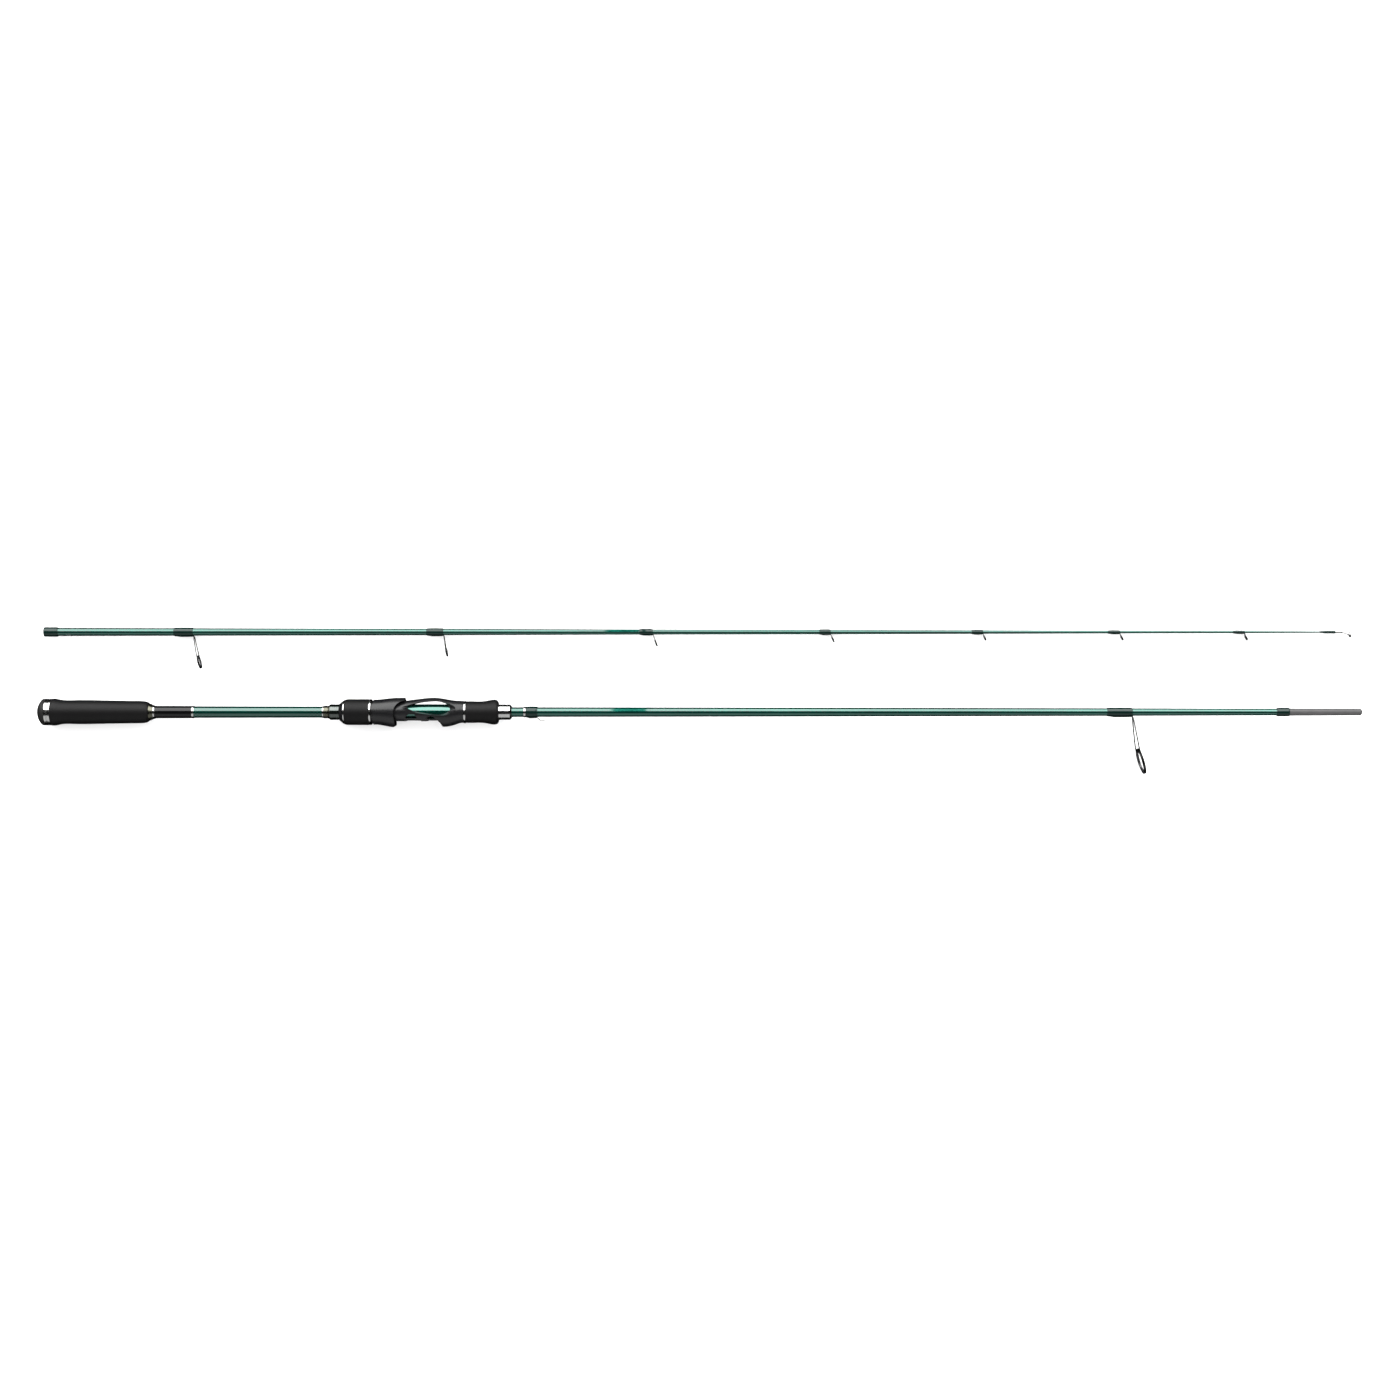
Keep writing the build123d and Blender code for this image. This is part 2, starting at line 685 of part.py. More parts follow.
def guide(section, form, blank, name, size):
    """One line guide: a frame with two legs and a foot, its ring, and the winding on its foot."""
    start, end, along, drop, diameter, tilt, thickness, root = size
    outer, seat, hole, length = ring_sizes(diameter)
    plane = ring_plane(section, along, drop, tilt)
    surface = radius_at(blank, end)
    foot = 0.8 * thickness
    lean = math.radians(tilt)
    ring_top = (along - outer * math.sin(lean), -drop + outer * math.cos(lean))
    heel = (end + thickness / 2, -surface - foot / 2)
    leg_width = 0.55 + 0.042 * diameter
    spread = outer + FRAME_SPREAD
    with BuildPart() as frame:
        # The legs' side profile, a bent strip from the foot to the middle of the ring.
        with BuildSketch(section):
            with BuildLine():
                Polyline((heel[0] - 0.15, -surface + 0.6), heel, ring_top, (along, -drop))
            trace(line_width=thickness)
        extrude(amount=diameter, both=True)
        # Their front outline, narrow at the blank and as wide as the ring below.
        with BuildSketch(across(section, end - 3.0)):
            with BuildLine():
                Line((-surface + 1.0, -root), (-surface + 1.0, root))
                Line((-surface + 1.0, root), (-surface - foot, root))
                middle = (-surface - foot - drop) / 2
                ThreePointArc((-surface - foot, root), (middle, (root + spread) * 0.58), (-drop, spread))
                ThreePointArc((-drop, spread), (-drop - spread, 0), (-drop, -spread))
                ThreePointArc((-drop, -spread), (middle, -(root + spread) * 0.58), (-surface - foot, -root))
                Line((-surface - foot, -root), (-surface + 1.0, -root))
            make_face()
            offset(amount=-leg_width, mode=Mode.SUBTRACT)
        extrude(amount=along - end + diameter, mode=Mode.INTERSECT)
        # The band that holds the ring.
        with BuildSketch(plane):
            Circle(outer)
        extrude(amount=length / 2, both=True)
        with BuildSketch(plane):
            Circle(seat)
        extrude(amount=diameter, both=True, mode=Mode.SUBTRACT)
        # The foot, tapering under the winding.
        with BuildSketch(section):
            with BuildLine():
                Polyline(
                    (start + 3.0, -surface + 0.6),
                    (start + 3.0, -radius_at(blank, start) - 0.15),
                    (end - 0.35 * (end - start), -surface - foot),
                    (heel[0], -surface - foot),
                    (heel[0], -surface + 0.6),
                    close=True,
                )
            make_face()
        extrude(amount=0.7 * root, both=True)
        add(form, mode=Mode.SUBTRACT)
    save(frame, f"{name}_frame")
    ring_insert(plane, diameter, f"{name}_ring")
    winding(section, form, blank, start, end, foot, 0.22 + 0.06 * surface, frame.part, f"{name}_wrap")


for name, size in GUIDES.items():
    if name == "guide_1":
        guide(BUTT, butt_form, BUTT_BLANK, name, size)
    else:
        guide(TIP, tip_form, TIP_BLANK, name, size)

# ---------------------------------------------------------------- tip-top
TUBE_START, TUBE_END, TUBE_RADIUS = 1223.2, 1240.2, 1.1
STRUT = 0.32
tip_plane = ring_plane(TIP, TIP_TOP_AT, TIP_TOP_DROP, TIP_TOP_TILT)
tip_outer, tip_seat, tip_hole, tip_length = ring_sizes(TIP_TOP_RING)

with BuildPart() as tip_top_frame:
    turn(
        TIP,
        [
            (TUBE_START, 0),
            (TUBE_START, TUBE_RADIUS - 0.15),
            (TUBE_START + 0.4, TUBE_RADIUS),
            (TUBE_END - 0.4, TUBE_RADIUS),
            (TUBE_END, TUBE_RADIUS - 0.4),
            (TUBE_END, 0),
        ],
    )
    # One strut runs to the top of the ring and two to its sides.
    for tube_side, ring_side in (
        ((0.5, 0), (tip_outer - STRUT, 0)),
        ((-0.1, 0.7), (0.3, tip_outer - STRUT)),
        ((-0.1, -0.7), (0.3, -tip_outer + STRUT)),
    ):
        tube_point = TIP.from_local_coords(Vector(TUBE_END - 1.0, *tube_side))
        ring_point = tip_plane.from_local_coords(Vector(ring_side[0], ring_side[1], 0))
        with BuildLine(Plane.XY):
            strut = Line(tube_point, ring_point)
        with BuildSketch(Plane(origin=strut @ 0, z_dir=strut % 0)):
            Circle(STRUT)
        sweep(path=strut)
    with BuildSketch(tip_plane):
        Circle(tip_outer)
    extrude(amount=tip_length / 2, both=True)
    with BuildSketch(tip_plane):
        Circle(tip_seat)
    extrude(amount=1.6, both=True, mode=Mode.SUBTRACT)
    add(tip_form, mode=Mode.SUBTRACT)
save(tip_top_frame, "tip_top_frame")

ring_insert(tip_plane, TIP_TOP_RING, "tip_top_ring")

with BuildPart() as tip_top_wrap:
    with BuildSketch(TIP):
        with BuildLine():
            Polyline(
                (1217.7, 0),
                (1217.7, 0.85),
                (1222.7, 1.3),
                (1231.6, 1.35),
                (1232.4, 1.15),
                (1232.4, 0),
                close=True,
            )
        make_face()
    revolve(axis=axis_of(TIP))
    add(tip_form, mode=Mode.SUBTRACT)
    add(tip_top_frame.part, mode=Mode.SUBTRACT)
save(tip_top_wrap, "tip_top_wrap")
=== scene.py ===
import functools
import json
import math

import bpy
import numpy as np
from mathutils import Matrix, Vector


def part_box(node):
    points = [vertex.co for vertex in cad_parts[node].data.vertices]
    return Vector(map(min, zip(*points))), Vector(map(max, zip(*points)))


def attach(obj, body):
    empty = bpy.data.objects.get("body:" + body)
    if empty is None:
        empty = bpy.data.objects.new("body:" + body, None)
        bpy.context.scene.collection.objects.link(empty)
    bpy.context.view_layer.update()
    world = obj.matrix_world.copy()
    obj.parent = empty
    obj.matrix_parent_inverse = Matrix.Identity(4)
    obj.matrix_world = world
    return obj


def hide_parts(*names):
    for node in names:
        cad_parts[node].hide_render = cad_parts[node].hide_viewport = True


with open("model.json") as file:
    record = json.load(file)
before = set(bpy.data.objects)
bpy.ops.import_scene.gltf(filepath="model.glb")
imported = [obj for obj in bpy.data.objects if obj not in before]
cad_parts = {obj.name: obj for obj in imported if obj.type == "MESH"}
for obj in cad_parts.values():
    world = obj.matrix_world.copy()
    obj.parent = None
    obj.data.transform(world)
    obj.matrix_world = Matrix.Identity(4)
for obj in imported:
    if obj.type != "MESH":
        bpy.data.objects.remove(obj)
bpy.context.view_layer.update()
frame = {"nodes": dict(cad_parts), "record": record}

# A two-section spinning rod. Lengths are metres unless a name says otherwise; MM is one millimetre.
MM = 0.001
MOUNTS = {mount["name"]: mount for mount in frame["record"]["mounts"]}
# How far inside the tip section's open end its ferrule mount lies.
FERRULE_SOCKET_MID = 35 * MM
# Least divisors, and the least step between two points of an outline.
TINY_LENGTH, TINY_AREA = 1e-9, 1e-15
SAME_PLACE = 0.004 * MM
OUTLINE_STEP = 0.01 * MM
# How much a face must lean towards or away from the axis to belong to an outline.
LEAST_LEANING = 0.06


# ------------------------------------------------------------------ the two sections' own frames
class Section:
    """A straight axis with its own coordinates: distance along it, side away from the guides, and up."""

    def __init__(self, origin, along, side=(0, 1, 0)):
        self.origin = Vector(origin)
        self.along = Vector(along).normalized()
        self.up = self.along.cross(Vector(side)).normalized()
        self.side = self.up.cross(self.along)
        self.axes = np.array([self.along, self.side, self.up])

    def point(self, distance, side=0.0, up=0.0):
        return self.origin + self.along * distance + self.side * side + self.up * up

    def local(self, points):
        """World points as rows of (distance, side, up)."""
        return (np.asarray(points) - np.array(self.origin)) @ self.axes.T

    def world(self, points):
        """Rows of (distance, side, up) as world points."""
        return np.array(self.origin) + np.asarray(points) @ self.axes


def butt_section():
    axis_point = Vector(MOUNTS["ferrule_male"]["pos_m"])
    rear_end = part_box("butt_cap")[0].x
    return Section((rear_end, axis_point.y, axis_point.z), MOUNTS["ferrule_male"]["axis"])


def tip_section():
    rearward = Vector(MOUNTS["ferrule_female"]["axis"]).normalized()
    open_end = Vector(MOUNTS["ferrule_female"]["pos_m"]) + rearward * FERRULE_SOCKET_MID
    return Section(open_end, -rearward)


BUTT = butt_section()
TIP = tip_section()


# ------------------------------------------------------------------ reading shapes from the frame
def cad_points(node):
    """A CAD node's vertices at rest, one row each."""
    mesh = frame["nodes"][node].data
    points = np.empty(len(mesh.vertices) * 3)
    mesh.vertices.foreach_get("co", points)
    return points.reshape(-1, 3)


def cad_triangles(node):
    """A CAD node's triangles, as rows of three vertex numbers."""
    mesh = frame["nodes"][node].data
    mesh.calc_loop_triangles()
    corners = np.empty(len(mesh.loop_triangles) * 3, dtype=np.int32)
    mesh.loop_triangles.foreach_get("vertices", corners)
    return corners.reshape(-1, 3)


def area_normals(points, triangles):
    """Each triangle's normal, as long as twice its area."""
    first, second, third = (points[triangles[:, corner]] for corner in range(3))
    return np.cross(second - first, third - first)


def unique_points(found):
    """Points sorted by distance, with the repeats of one place taken out."""
    kept = []
    for key in sorted(found):
        point = found[key]
        if not kept or max(abs(point[0] - kept[-1][0]), abs(point[1] - kept[-1][1])) > SAME_PLACE:
            kept.append(point)
    return kept


@functools.cache
def outlines(node, section):
    """A turned node's outer and inner outlines, as lists of (distance, radius) in metres.

    Faces that look away from the axis make the outer outline and faces that look towards it
    the inner one. Where two radii meet at one distance, the face to the rear comes first."""
    points = section.local(cad_points(node))
    triangles = cad_triangles(node)
    radii = np.hypot(points[:, 1], points[:, 2])
    normals = area_normals(points, triangles)
    lengths = np.maximum(np.linalg.norm(normals, axis=1), TINY_AREA)
    middles = points[triangles].mean(1)
    reaches = np.maximum(np.hypot(middles[:, 1], middles[:, 2]), TINY_LENGTH)
    leanings = (normals[:, 1:] * middles[:, 1:]).sum(1) / (lengths * reaches)
    found = {1: {}, -1: {}}
    for row in np.nonzero(np.abs(leanings) > LEAST_LEANING)[0]:
        facing = found[1 if leanings[row] > 0 else -1]
        for corner in triangles[row]:
            distance = points[corner, 0]
            face_is_ahead = distance < middles[row, 0]
            facing[(round(distance / OUTLINE_STEP), bool(face_is_ahead))] = (distance, radii[corner])
    return unique_points(found[1]), unique_points(found[-1])


def ring_axis(node, section):
    """The section of a guide ring: its centre and the axis that its faces are turned about."""
    normals = area_normals(cad_points(node), cad_triangles(node))
    lengths = np.maximum(np.linalg.norm(normals, axis=1), TINY_AREA)
    spread = (normals / lengths[:, None]).T @ normals
    directions = np.linalg.eigh(spread)[1].T
    axis = max(directions, key=lambda d: abs(d @ np.array(section.along)))
    axis = axis * np.sign(axis @ np.array(section.along))
    turned = Section((0, 0, 0), axis, section.side)
    points = turned.local(cad_points(node))
    middle = (points.min(0) + points.max(0)) / 2
    return Section(turned.world(middle), axis, section.side)


# ------------------------------------------------------------------ mesh making
LEAST_BEND = math.radians(14)
ARC_STEPS = 4


def rounded(points, radius, closed):
    """An outline with each sharp corner turned into a small arc."""
    count = len(points)
    made = []
    for index, point in enumerate(points):
        if not closed and index in (0, count - 1):
            made.append(point)
            continue
        here = np.array(point)
        back = np.array(points[index - 1]) - here
        ahead = np.array(points[(index + 1) % count]) - here
        reach_back, reach_ahead = np.linalg.norm(back), np.linalg.norm(ahead)
        back, ahead = back / reach_back, ahead / reach_ahead
        bend = math.pi - math.acos(np.clip(back @ ahead, -1, 1))
        if bend < LEAST_BEND:
            made.append(point)
            continue
        cut = min(radius * math.tan(bend / 2), 0.4 * reach_back, 0.4 * reach_ahead)
        first, last = here + back * cut, here + ahead * cut
        for step in range(ARC_STEPS + 1):
            share = step / ARC_STEPS
            arc = (1 - share) ** 2 * first + 2 * share * (1 - share) * here + share**2 * last
            made.append(tuple(arc))
    return made


def build(name, points, faces, material, body, stands_for, lay=None):
    """A smooth-shaded mesh piece that rides on its body in place of the CAD nodes named."""
    mesh = bpy.data.meshes.new(name)
    mesh.from_pydata([tuple(p) for p in points], [], faces)
    if lay is not None:
        layer = mesh.uv_layers.new(name="lay")
        layer.data.foreach_set("uv", np.asarray(lay, float).ravel())
    mesh.shade_smooth()
    mesh.validate()
    piece = bpy.data.objects.new(name, mesh)
    bpy.context.scene.collection.objects.link(piece)
    for each in material if isinstance(material, (list, tuple)) else [material]:
        mesh.materials.append(each)
    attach(piece, body)
    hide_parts(*stands_for)
    return piece


def even_normals(piece):
    """Keeps broad faces flat in the shading beside small rounded edges."""
    weighted = piece.modifiers.new("weighted", "WEIGHTED_NORMAL")
    weighted.mode = "FACE_AREA"
    weighted.weight = 60
    weighted.keep_sharp = False


def rings_mesh(rings, closed_profile):
    """Faces and lay (metres along, metres round) of a stack of equal rings of points."""
    rows, columns = rings.shape[:2]
    last_row = rows if closed_profile else rows - 1
    mids = rings.mean(1)
    steps = np.linalg.norm(np.diff(rings[:, 0], axis=0, append=rings[:1, 0]), axis=1)
    along = np.concatenate([[0], np.cumsum(steps)])
    girth = 2 * math.pi * np.linalg.norm(rings - mids[:, None], axis=2).max()
    faces, lay = [], []
    for row in range(last_row):
        above = (row + 1) % rows
        for column in range(columns):
            beside = (column + 1) % columns
            here, there = row * columns, above * columns
            faces.append((here + column, here + beside, there + beside, there + column))
            low, high = girth * column / columns, girth * (column + 1) / columns
            lay += [(along[row], low), (along[row], high), (along[row + 1], high), (along[row + 1], low)]
    return faces, lay


def outward(points, faces):
    """Whether the closed mesh's faces are wound so that its volume is positive."""
    points = np.asarray(points)
    triangles = np.array([(face[0], a, b) for face in faces for a, b in zip(face[1:-1], face[2:])])
    return (points[triangles[:, 0]] * area_normals(points, triangles)).sum() > 0


def turns(segments):
    """Even angles once round."""
    return np.arange(segments) * 2 * math.pi / segments


def ring_at(section, distance, radii, angles):
    """A ring of points about the section's axis, of one radius or of one at each angle."""
    local = [np.full(len(angles), distance), radii * np.cos(angles), radii * np.sin(angles)]
    return section.world(np.stack(local, axis=1))


def circle_rings(section, profile, segments):
    """A ring of points about the section's axis for each (distance, radius)."""
    angles = turns(segments)
    return np.array([ring_at(section, distance, radius, angles) for distance, radius in profile])


def shell_of_rings(name, rings, closed_profile, material, body, stands_for):
    """A closed piece from rings: a profile that closes on itself, or two capped ends."""
    faces, lay = rings_mesh(rings, closed_profile)
    rows, columns = rings.shape[:2]
    points = rings.reshape(-1, 3)
    if not closed_profile:
        for row in (0, rows - 1):
            pole = len(points)
            points = np.vstack([points, rings[row].mean(0)])
            for column in range(columns):
                beside = (column + 1) % columns
                pair = (column, beside) if row else (beside, column)
                faces.append((row * columns + pair[0], row * columns + pair[1], pole))
                lay += [(0.0, 0.0)] * 3
    if not outward(points, faces):
        sizes = [len(face) for face in faces]
        starts = np.cumsum(sizes) - sizes
        order = np.concatenate([start + np.arange(size)[::-1] for start, size in zip(starts, sizes)])
        faces = [tuple(reversed(face)) for face in faces]
        lay = np.asarray(lay)[order]
    return build(name, points, faces, material, body, stands_for, lay)


POLE_RADIUS, LEAST_FLAT_END = 0.02 * MM, 0.1 * MM


def turned(node, section, material, body, corner, segments=72, outer=None, dome=False):
    """A CAD node's turned shape again, with more facets and rounded edges."""
    found_outer, found_inner = outlines(node, section)
    outer = outer or found_outer
    hollow = bool(found_inner) and not dome
    if hollow:
        profile = outer + found_inner[::-1]
    else:
        first, last = ([(x, POLE_RADIUS)] if r > LEAST_FLAT_END else [] for x, r in (outer[0], outer[-1]))
        profile = first + outer + last
    rings = circle_rings(section, rounded(profile, corner, closed=hollow), segments)
    piece = shell_of_rings(f"{node}_turned", rings, hollow, material, body, [node])
    even_normals(piece)


def thinned(points, tolerance=0.006 * MM):
    """The fewest points of an outline that stay within the tolerance of all of it."""
    points = [tuple(p) for p in points]
    if len(points) < 3:
        return points
    first, last = np.array(points[0]), np.array(points[-1])
    chord = last - first
    length = max(np.linalg.norm(chord), TINY_LENGTH)
    gaps = [abs(chord[0] * (p[1] - first[1]) - chord[1] * (p[0] - first[0])) / length for p in points]
    worst = int(np.argmax(gaps))
    if gaps[worst] <= tolerance:
        return [points[0], points[-1]]
    return thinned(points[: worst + 1], tolerance)[:-1] + thinned(points[worst:], tolerance)


def radius_of(outline, distance):
    """An outline's radius at a distance along it."""
    return float(np.interp(distance, [p[0] for p in outline], [p[1] for p in outline]))


def smoothed(values, passes):
    """A list of numbers with its corners eased, its two ends kept."""
    values = np.array(values, float)
    for _ in range(passes):
        values[1:-1] = 0.25 * values[:-2] + 0.5 * values[1:-1] + 0.25 * values[2:]
    return values


# The power of a bar's cross-section: 1 is an ellipse, and less is a box with round corners.
BAR_ROUNDNESS = 0.55


def swept(path, widths, thicknesses, lateral, corners=4):
    """Rings of a rounded bar that follows a path: its width lies across, towards lateral."""
    path = np.asarray(path, float)
    tangents = np.gradient(path, axis=0)
    tangents /= np.linalg.norm(tangents, axis=1)[:, None]
    wide = np.asarray(lateral) - (tangents @ np.asarray(lateral))[:, None] * tangents
    wide /= np.linalg.norm(wide, axis=1)[:, None]
    thick = np.cross(tangents, wide)
    segments = corners * 6
    angles = (np.arange(segments) + 0.5) * 2 * math.pi / segments
    across = np.sign(np.cos(angles)) * np.abs(np.cos(angles)) ** BAR_ROUNDNESS
    deep = np.sign(np.sin(angles)) * np.abs(np.sin(angles)) ** BAR_ROUNDNESS
    return (
        path[:, None]
        + wide[:, None] * (np.asarray(widths) / 2)[:, None, None] * across[None, :, None]
        + thick[:, None] * (np.asarray(thicknesses) / 2)[:, None, None] * deep[None, :, None]
    )


# ------------------------------------------------------------------ materials
class Look:
    """A procedural material: a Principled shader and the patterns that drive it."""

    def __init__(self, name, colour, roughness, metallic, **sockets):
        self.material = bpy.data.materials.new(name)
        self.material.use_nodes = True
        self.tree = self.material.node_tree
        self.shader = self.tree.nodes["Principled BSDF"]
        self.set(self.shader, {"Base Color": (*colour, 1), "Roughness": roughness, "Metallic": metallic})
        self.set(self.shader, {key.replace("_", " "): value for key, value in sockets.items()})
        self.place = self.add("ShaderNodeTexCoord").outputs["Object"]

    def set(self, node, values):
        for key, value in values.items():
            if isinstance(value, bpy.types.NodeSocket):
                self.tree.links.new(value, node.inputs[key])
            else:
                node.inputs[key].default_value = value

    def add(self, kind, values=None, **settings):
        node = self.tree.nodes.new(kind)
        for key, value in settings.items():
            setattr(node, key, value)
        self.set(node, values or {})
        return node

    def use_lay(self):
        """Patterns follow the surface: metres along the piece, then metres round it."""
        self.place = self.add("ShaderNodeUVMap", uv_map="lay").outputs["UV"]

    def stretched(self, factors):
        return self.add("ShaderNodeMapping", {"Vector": self.place, "Scale": factors}).outputs["Vector"]

    def noise(self, size, detail, stretch=(1, 1, 1)):
        """A noise of the given feature size in metres."""
        values = {"Vector": self.stretched(stretch), "Scale": 1 / size, "Detail": detail}
        return self.add("ShaderNodeTexNoise", values).outputs["Fac"]

    def cells(self, size, output="Distance"):
        """Round cells of the given size in metres."""
        values = {"Vector": self.place, "Scale": 1 / size}
        return self.add("ShaderNodeTexVoronoi", values).outputs[output]

    def bands(self, pitch, distortion=0.0):
        """Ridges of the given pitch in metres. The wave texture has 20 radians to a unit."""
        scale = 2 * math.pi / (20 * pitch)
        values = {"Vector": self.place, "Scale": scale, "Distortion": distortion}
        return self.add("ShaderNodeTexWave", values).outputs["Fac"]

    def ranged(self, value, low, high, start=0.0, end=1.0):
        values = {"Value": value, "From Min": start, "From Max": end, "To Min": low, "To Max": high}
        return self.add("ShaderNodeMapRange", values).outputs["Result"]

    def math(self, operation, first, second=0.0):
        node = self.add("ShaderNodeMath", operation=operation)
        self.set(node, {0: first, 1: second})
        return node.outputs[0]

    def blend(self, share, first, second):
        node = self.add("ShaderNodeMix", data_type="RGBA")
        colours = [c if isinstance(c, bpy.types.NodeSocket) else (*c, 1) for c in (first, second)]
        self.set(node, {0: share, 6: colours[0], 7: colours[1]})
        return node.outputs[2]

    def bump(self, height, distance, strength, under=None):
        values = {"Height": height, "Distance": distance, "Strength": strength}
        node = self.add("ShaderNodeBump", values)
        if under is not None:
            self.set(node, {"Normal": under})
        return node.outputs["Normal"]

    def drive(self, **sockets):
        self.set(self.shader, {key.replace("_", " "): value for key, value in sockets.items()})
        return self


def green_lacquer():
    """Metallic green under a glassy coat: fine flake, slow drifts of colour, faint polish marks."""
    look = Look("green_lacquer", (0.001, 0.1, 0.07), 0.2, 0.85, Coat_Weight=1.0, Coat_Roughness=0.03)
    look.drive(Coat_IOR=1.8)
    flake = look.cells(0.16 * MM, "Color")
    flake_value = look.add("ShaderNodeSeparateColor", {"Color": flake}).outputs["Red"]
    drift = look.noise(45 * MM, 2, (1, 3, 3))
    sparkle, shade = look.ranged(flake_value, 0.35, 1.0), look.ranged(drift, 0.55, 1.0, 0.3, 0.7)
    share = look.math("MULTIPLY", sparkle, shade)
    colour = look.blend(share, (0.0003, 0.04, 0.028), (0.001, 0.12, 0.084))
    marks = look.noise(1.2 * MM, 3, (1, 6, 6))
    look.drive(Base_Color=colour, Roughness=look.ranged(marks, 0.15, 0.24))
    return look.drive(Normal=look.bump(flake_value, 0.003 * MM, 0.2)).material


def woven_lacquer():
    """The rear blank: a carbon weave that shows faintly through the same green coat."""
    look = Look("woven_lacquer", (0.001, 0.08, 0.055), 0.24, 0.8, Coat_Weight=1.0, Coat_Roughness=0.04)
    look.drive(Coat_IOR=1.8)
    look.use_lay()
    cell = 1.6 * MM
    along = look.add("ShaderNodeSeparateXYZ", {"Vector": look.stretched((1 / cell, 1 / cell, 1))})
    sides = [look.math("SINE", look.math("MULTIPLY", along.outputs[axis], math.pi)) for axis in (0, 1)]
    weave = look.ranged(look.math("MULTIPLY", *sides), 0.0, 1.0, -0.25, 0.25)
    tow = look.bands(0.28 * MM)
    share = look.math("MULTIPLY", weave, look.ranged(tow, 0.6, 1.0))
    colour = look.blend(share, (0.001, 0.03, 0.022), (0.002, 0.1, 0.07))
    look.drive(Base_Color=colour, Roughness=look.ranged(weave, 0.17, 0.3))
    return look.drive(Normal=look.bump(tow, 0.02 * MM, 0.3)).material


def bare_carbon():
    """The unpainted ferrule: ground grey fibre with fine rings from the grinding."""
    look = Look("bare_carbon", (0.05, 0.048, 0.049), 0.5, 0.0, Specular_IOR_Level=0.5)
    look.use_lay()
    rings = look.bands(0.22 * MM, distortion=1.5)
    fibre = look.noise(0.6 * MM, 4, (0.12, 1, 1))
    patch = look.noise(9 * MM, 2)
    streaks, shade = look.ranged(fibre, 0.3, 1.0, 0.3, 0.7), look.ranged(patch, 0.6, 1.0, 0.3, 0.7)
    share = look.math("MULTIPLY", streaks, shade)
    look.drive(Base_Color=look.blend(share, (0.032, 0.031, 0.032), (0.07, 0.068, 0.069)))
    look.drive(Roughness=look.ranged(fibre, 0.42, 0.6))
    return look.drive(Normal=look.bump(rings, 0.015 * MM, 0.6)).material


def foam():
    """Sanded closed-cell foam: fine open pores, soft sheen, slightly polished high spots."""
    look = Look("foam", (0.004, 0.0037, 0.0039), 0.5, 0.0, Specular_IOR_Level=0.2)
    pores = look.cells(0.3 * MM)
    grain = look.noise(0.6 * MM, 4)
    patch = look.noise(14 * MM, 2)
    pits, shade = look.ranged(pores, 0.2, 1.0, 0.0, 0.5), look.ranged(patch, 0.7, 1.0, 0.3, 0.7)
    share = look.math("MULTIPLY", pits, shade)
    look.drive(Base_Color=look.blend(share, (0.0016, 0.0014, 0.0015), (0.0038, 0.0035, 0.0037)))
    look.drive(Roughness=look.ranged(grain, 0.42, 0.56, 0.3, 0.7))
    rough = look.bump(pores, 0.03 * MM, 0.4)
    return look.drive(Normal=look.bump(grain, 0.025 * MM, 0.3, rough)).material


def moulded_plastic():
    """Satin black moulding: fine spark texture, drawn slightly along the part, rubbed high spots."""
    look = Look("moulded_plastic", (0.008, 0.008, 0.0088), 0.36, 0.0, Specular_IOR_Level=0.5)
    spark = look.noise(0.22 * MM, 3)
    drawn = look.noise(1.4 * MM, 3, (0.12, 1, 1))
    patch = look.noise(11 * MM, 2)
    look.drive(Base_Color=look.blend(patch, (0.0035, 0.0035, 0.004), (0.0068, 0.0067, 0.0075)))
    wear = look.math("MULTIPLY", drawn, look.ranged(patch, 0.8, 1.2))
    look.drive(Roughness=look.ranged(wear, 0.22, 0.37, 0.25, 0.7))
    fine = look.bump(spark, 0.012 * MM, 0.5)
    return look.drive(Normal=look.bump(drawn, 0.02 * MM, 0.35, fine)).material


def tube_lacquer(name, low, high, metallic):
    """The seat tube's thin coloured coat on turned metal."""
    look = Look(name, high, 0.16, metallic, Coat_Weight=1.0, Coat_Roughness=0.05)
    look.drive(Coat_IOR=1.85)
    look.use_lay()
    turning = look.bands(0.12 * MM, distortion=0.6)
    patch = look.noise(7 * MM, 3)
    look.drive(Base_Color=look.blend(patch, low, high), Roughness=look.ranged(patch, 0.13, 0.2))
    return look.drive(Normal=look.bump(turning, 0.003 * MM, 0.4)).material


def thread(name, dark, light, coat_ior):
    """Winding thread laid turn by turn under clear epoxy."""
    look = Look(name, dark, 0.5, 0.7, Coat_Weight=1.0, Coat_Roughness=0.04, Coat_IOR=coat_ior)
    look.drive(Specular_IOR_Level=0.15)
    look.use_lay()
    turns = look.bands(0.21 * MM, distortion=0.3)
    fibres = look.noise(0.5 * MM, 3, (4, 0.3, 1))
    share = look.math("MULTIPLY", turns, look.ranged(fibres, 0.35, 1.0, 0.3, 0.7))
    look.drive(Base_Color=look.blend(share, dark, light), Roughness=look.ranged(fibres, 0.38, 0.62))
    look.drive(Normal=look.bump(turns, 0.03 * MM, 0.5))
    waves = look.noise(4 * MM, 1)
    return look.drive(Coat_Normal=look.bump(waves, 0.03 * MM, 0.3)).material


def turned_metal(name, low, high, roughness):
    """Lathe-turned metal: fine rings, faint handling marks, small drifts in gloss."""
    look = Look(name, high, roughness, 1.0)
    look.use_lay()
    rings = look.bands(0.09 * MM, distortion=0.8)
    marks = look.noise(1.1 * MM, 4, (1, 0.25, 1))
    look.drive(Base_Color=look.blend(marks, low, high))
    look.drive(Roughness=look.ranged(marks, roughness * 0.75, roughness * 1.5, 0.3, 0.7))
    return look.drive(Normal=look.bump(rings, 0.004 * MM, 0.6)).material


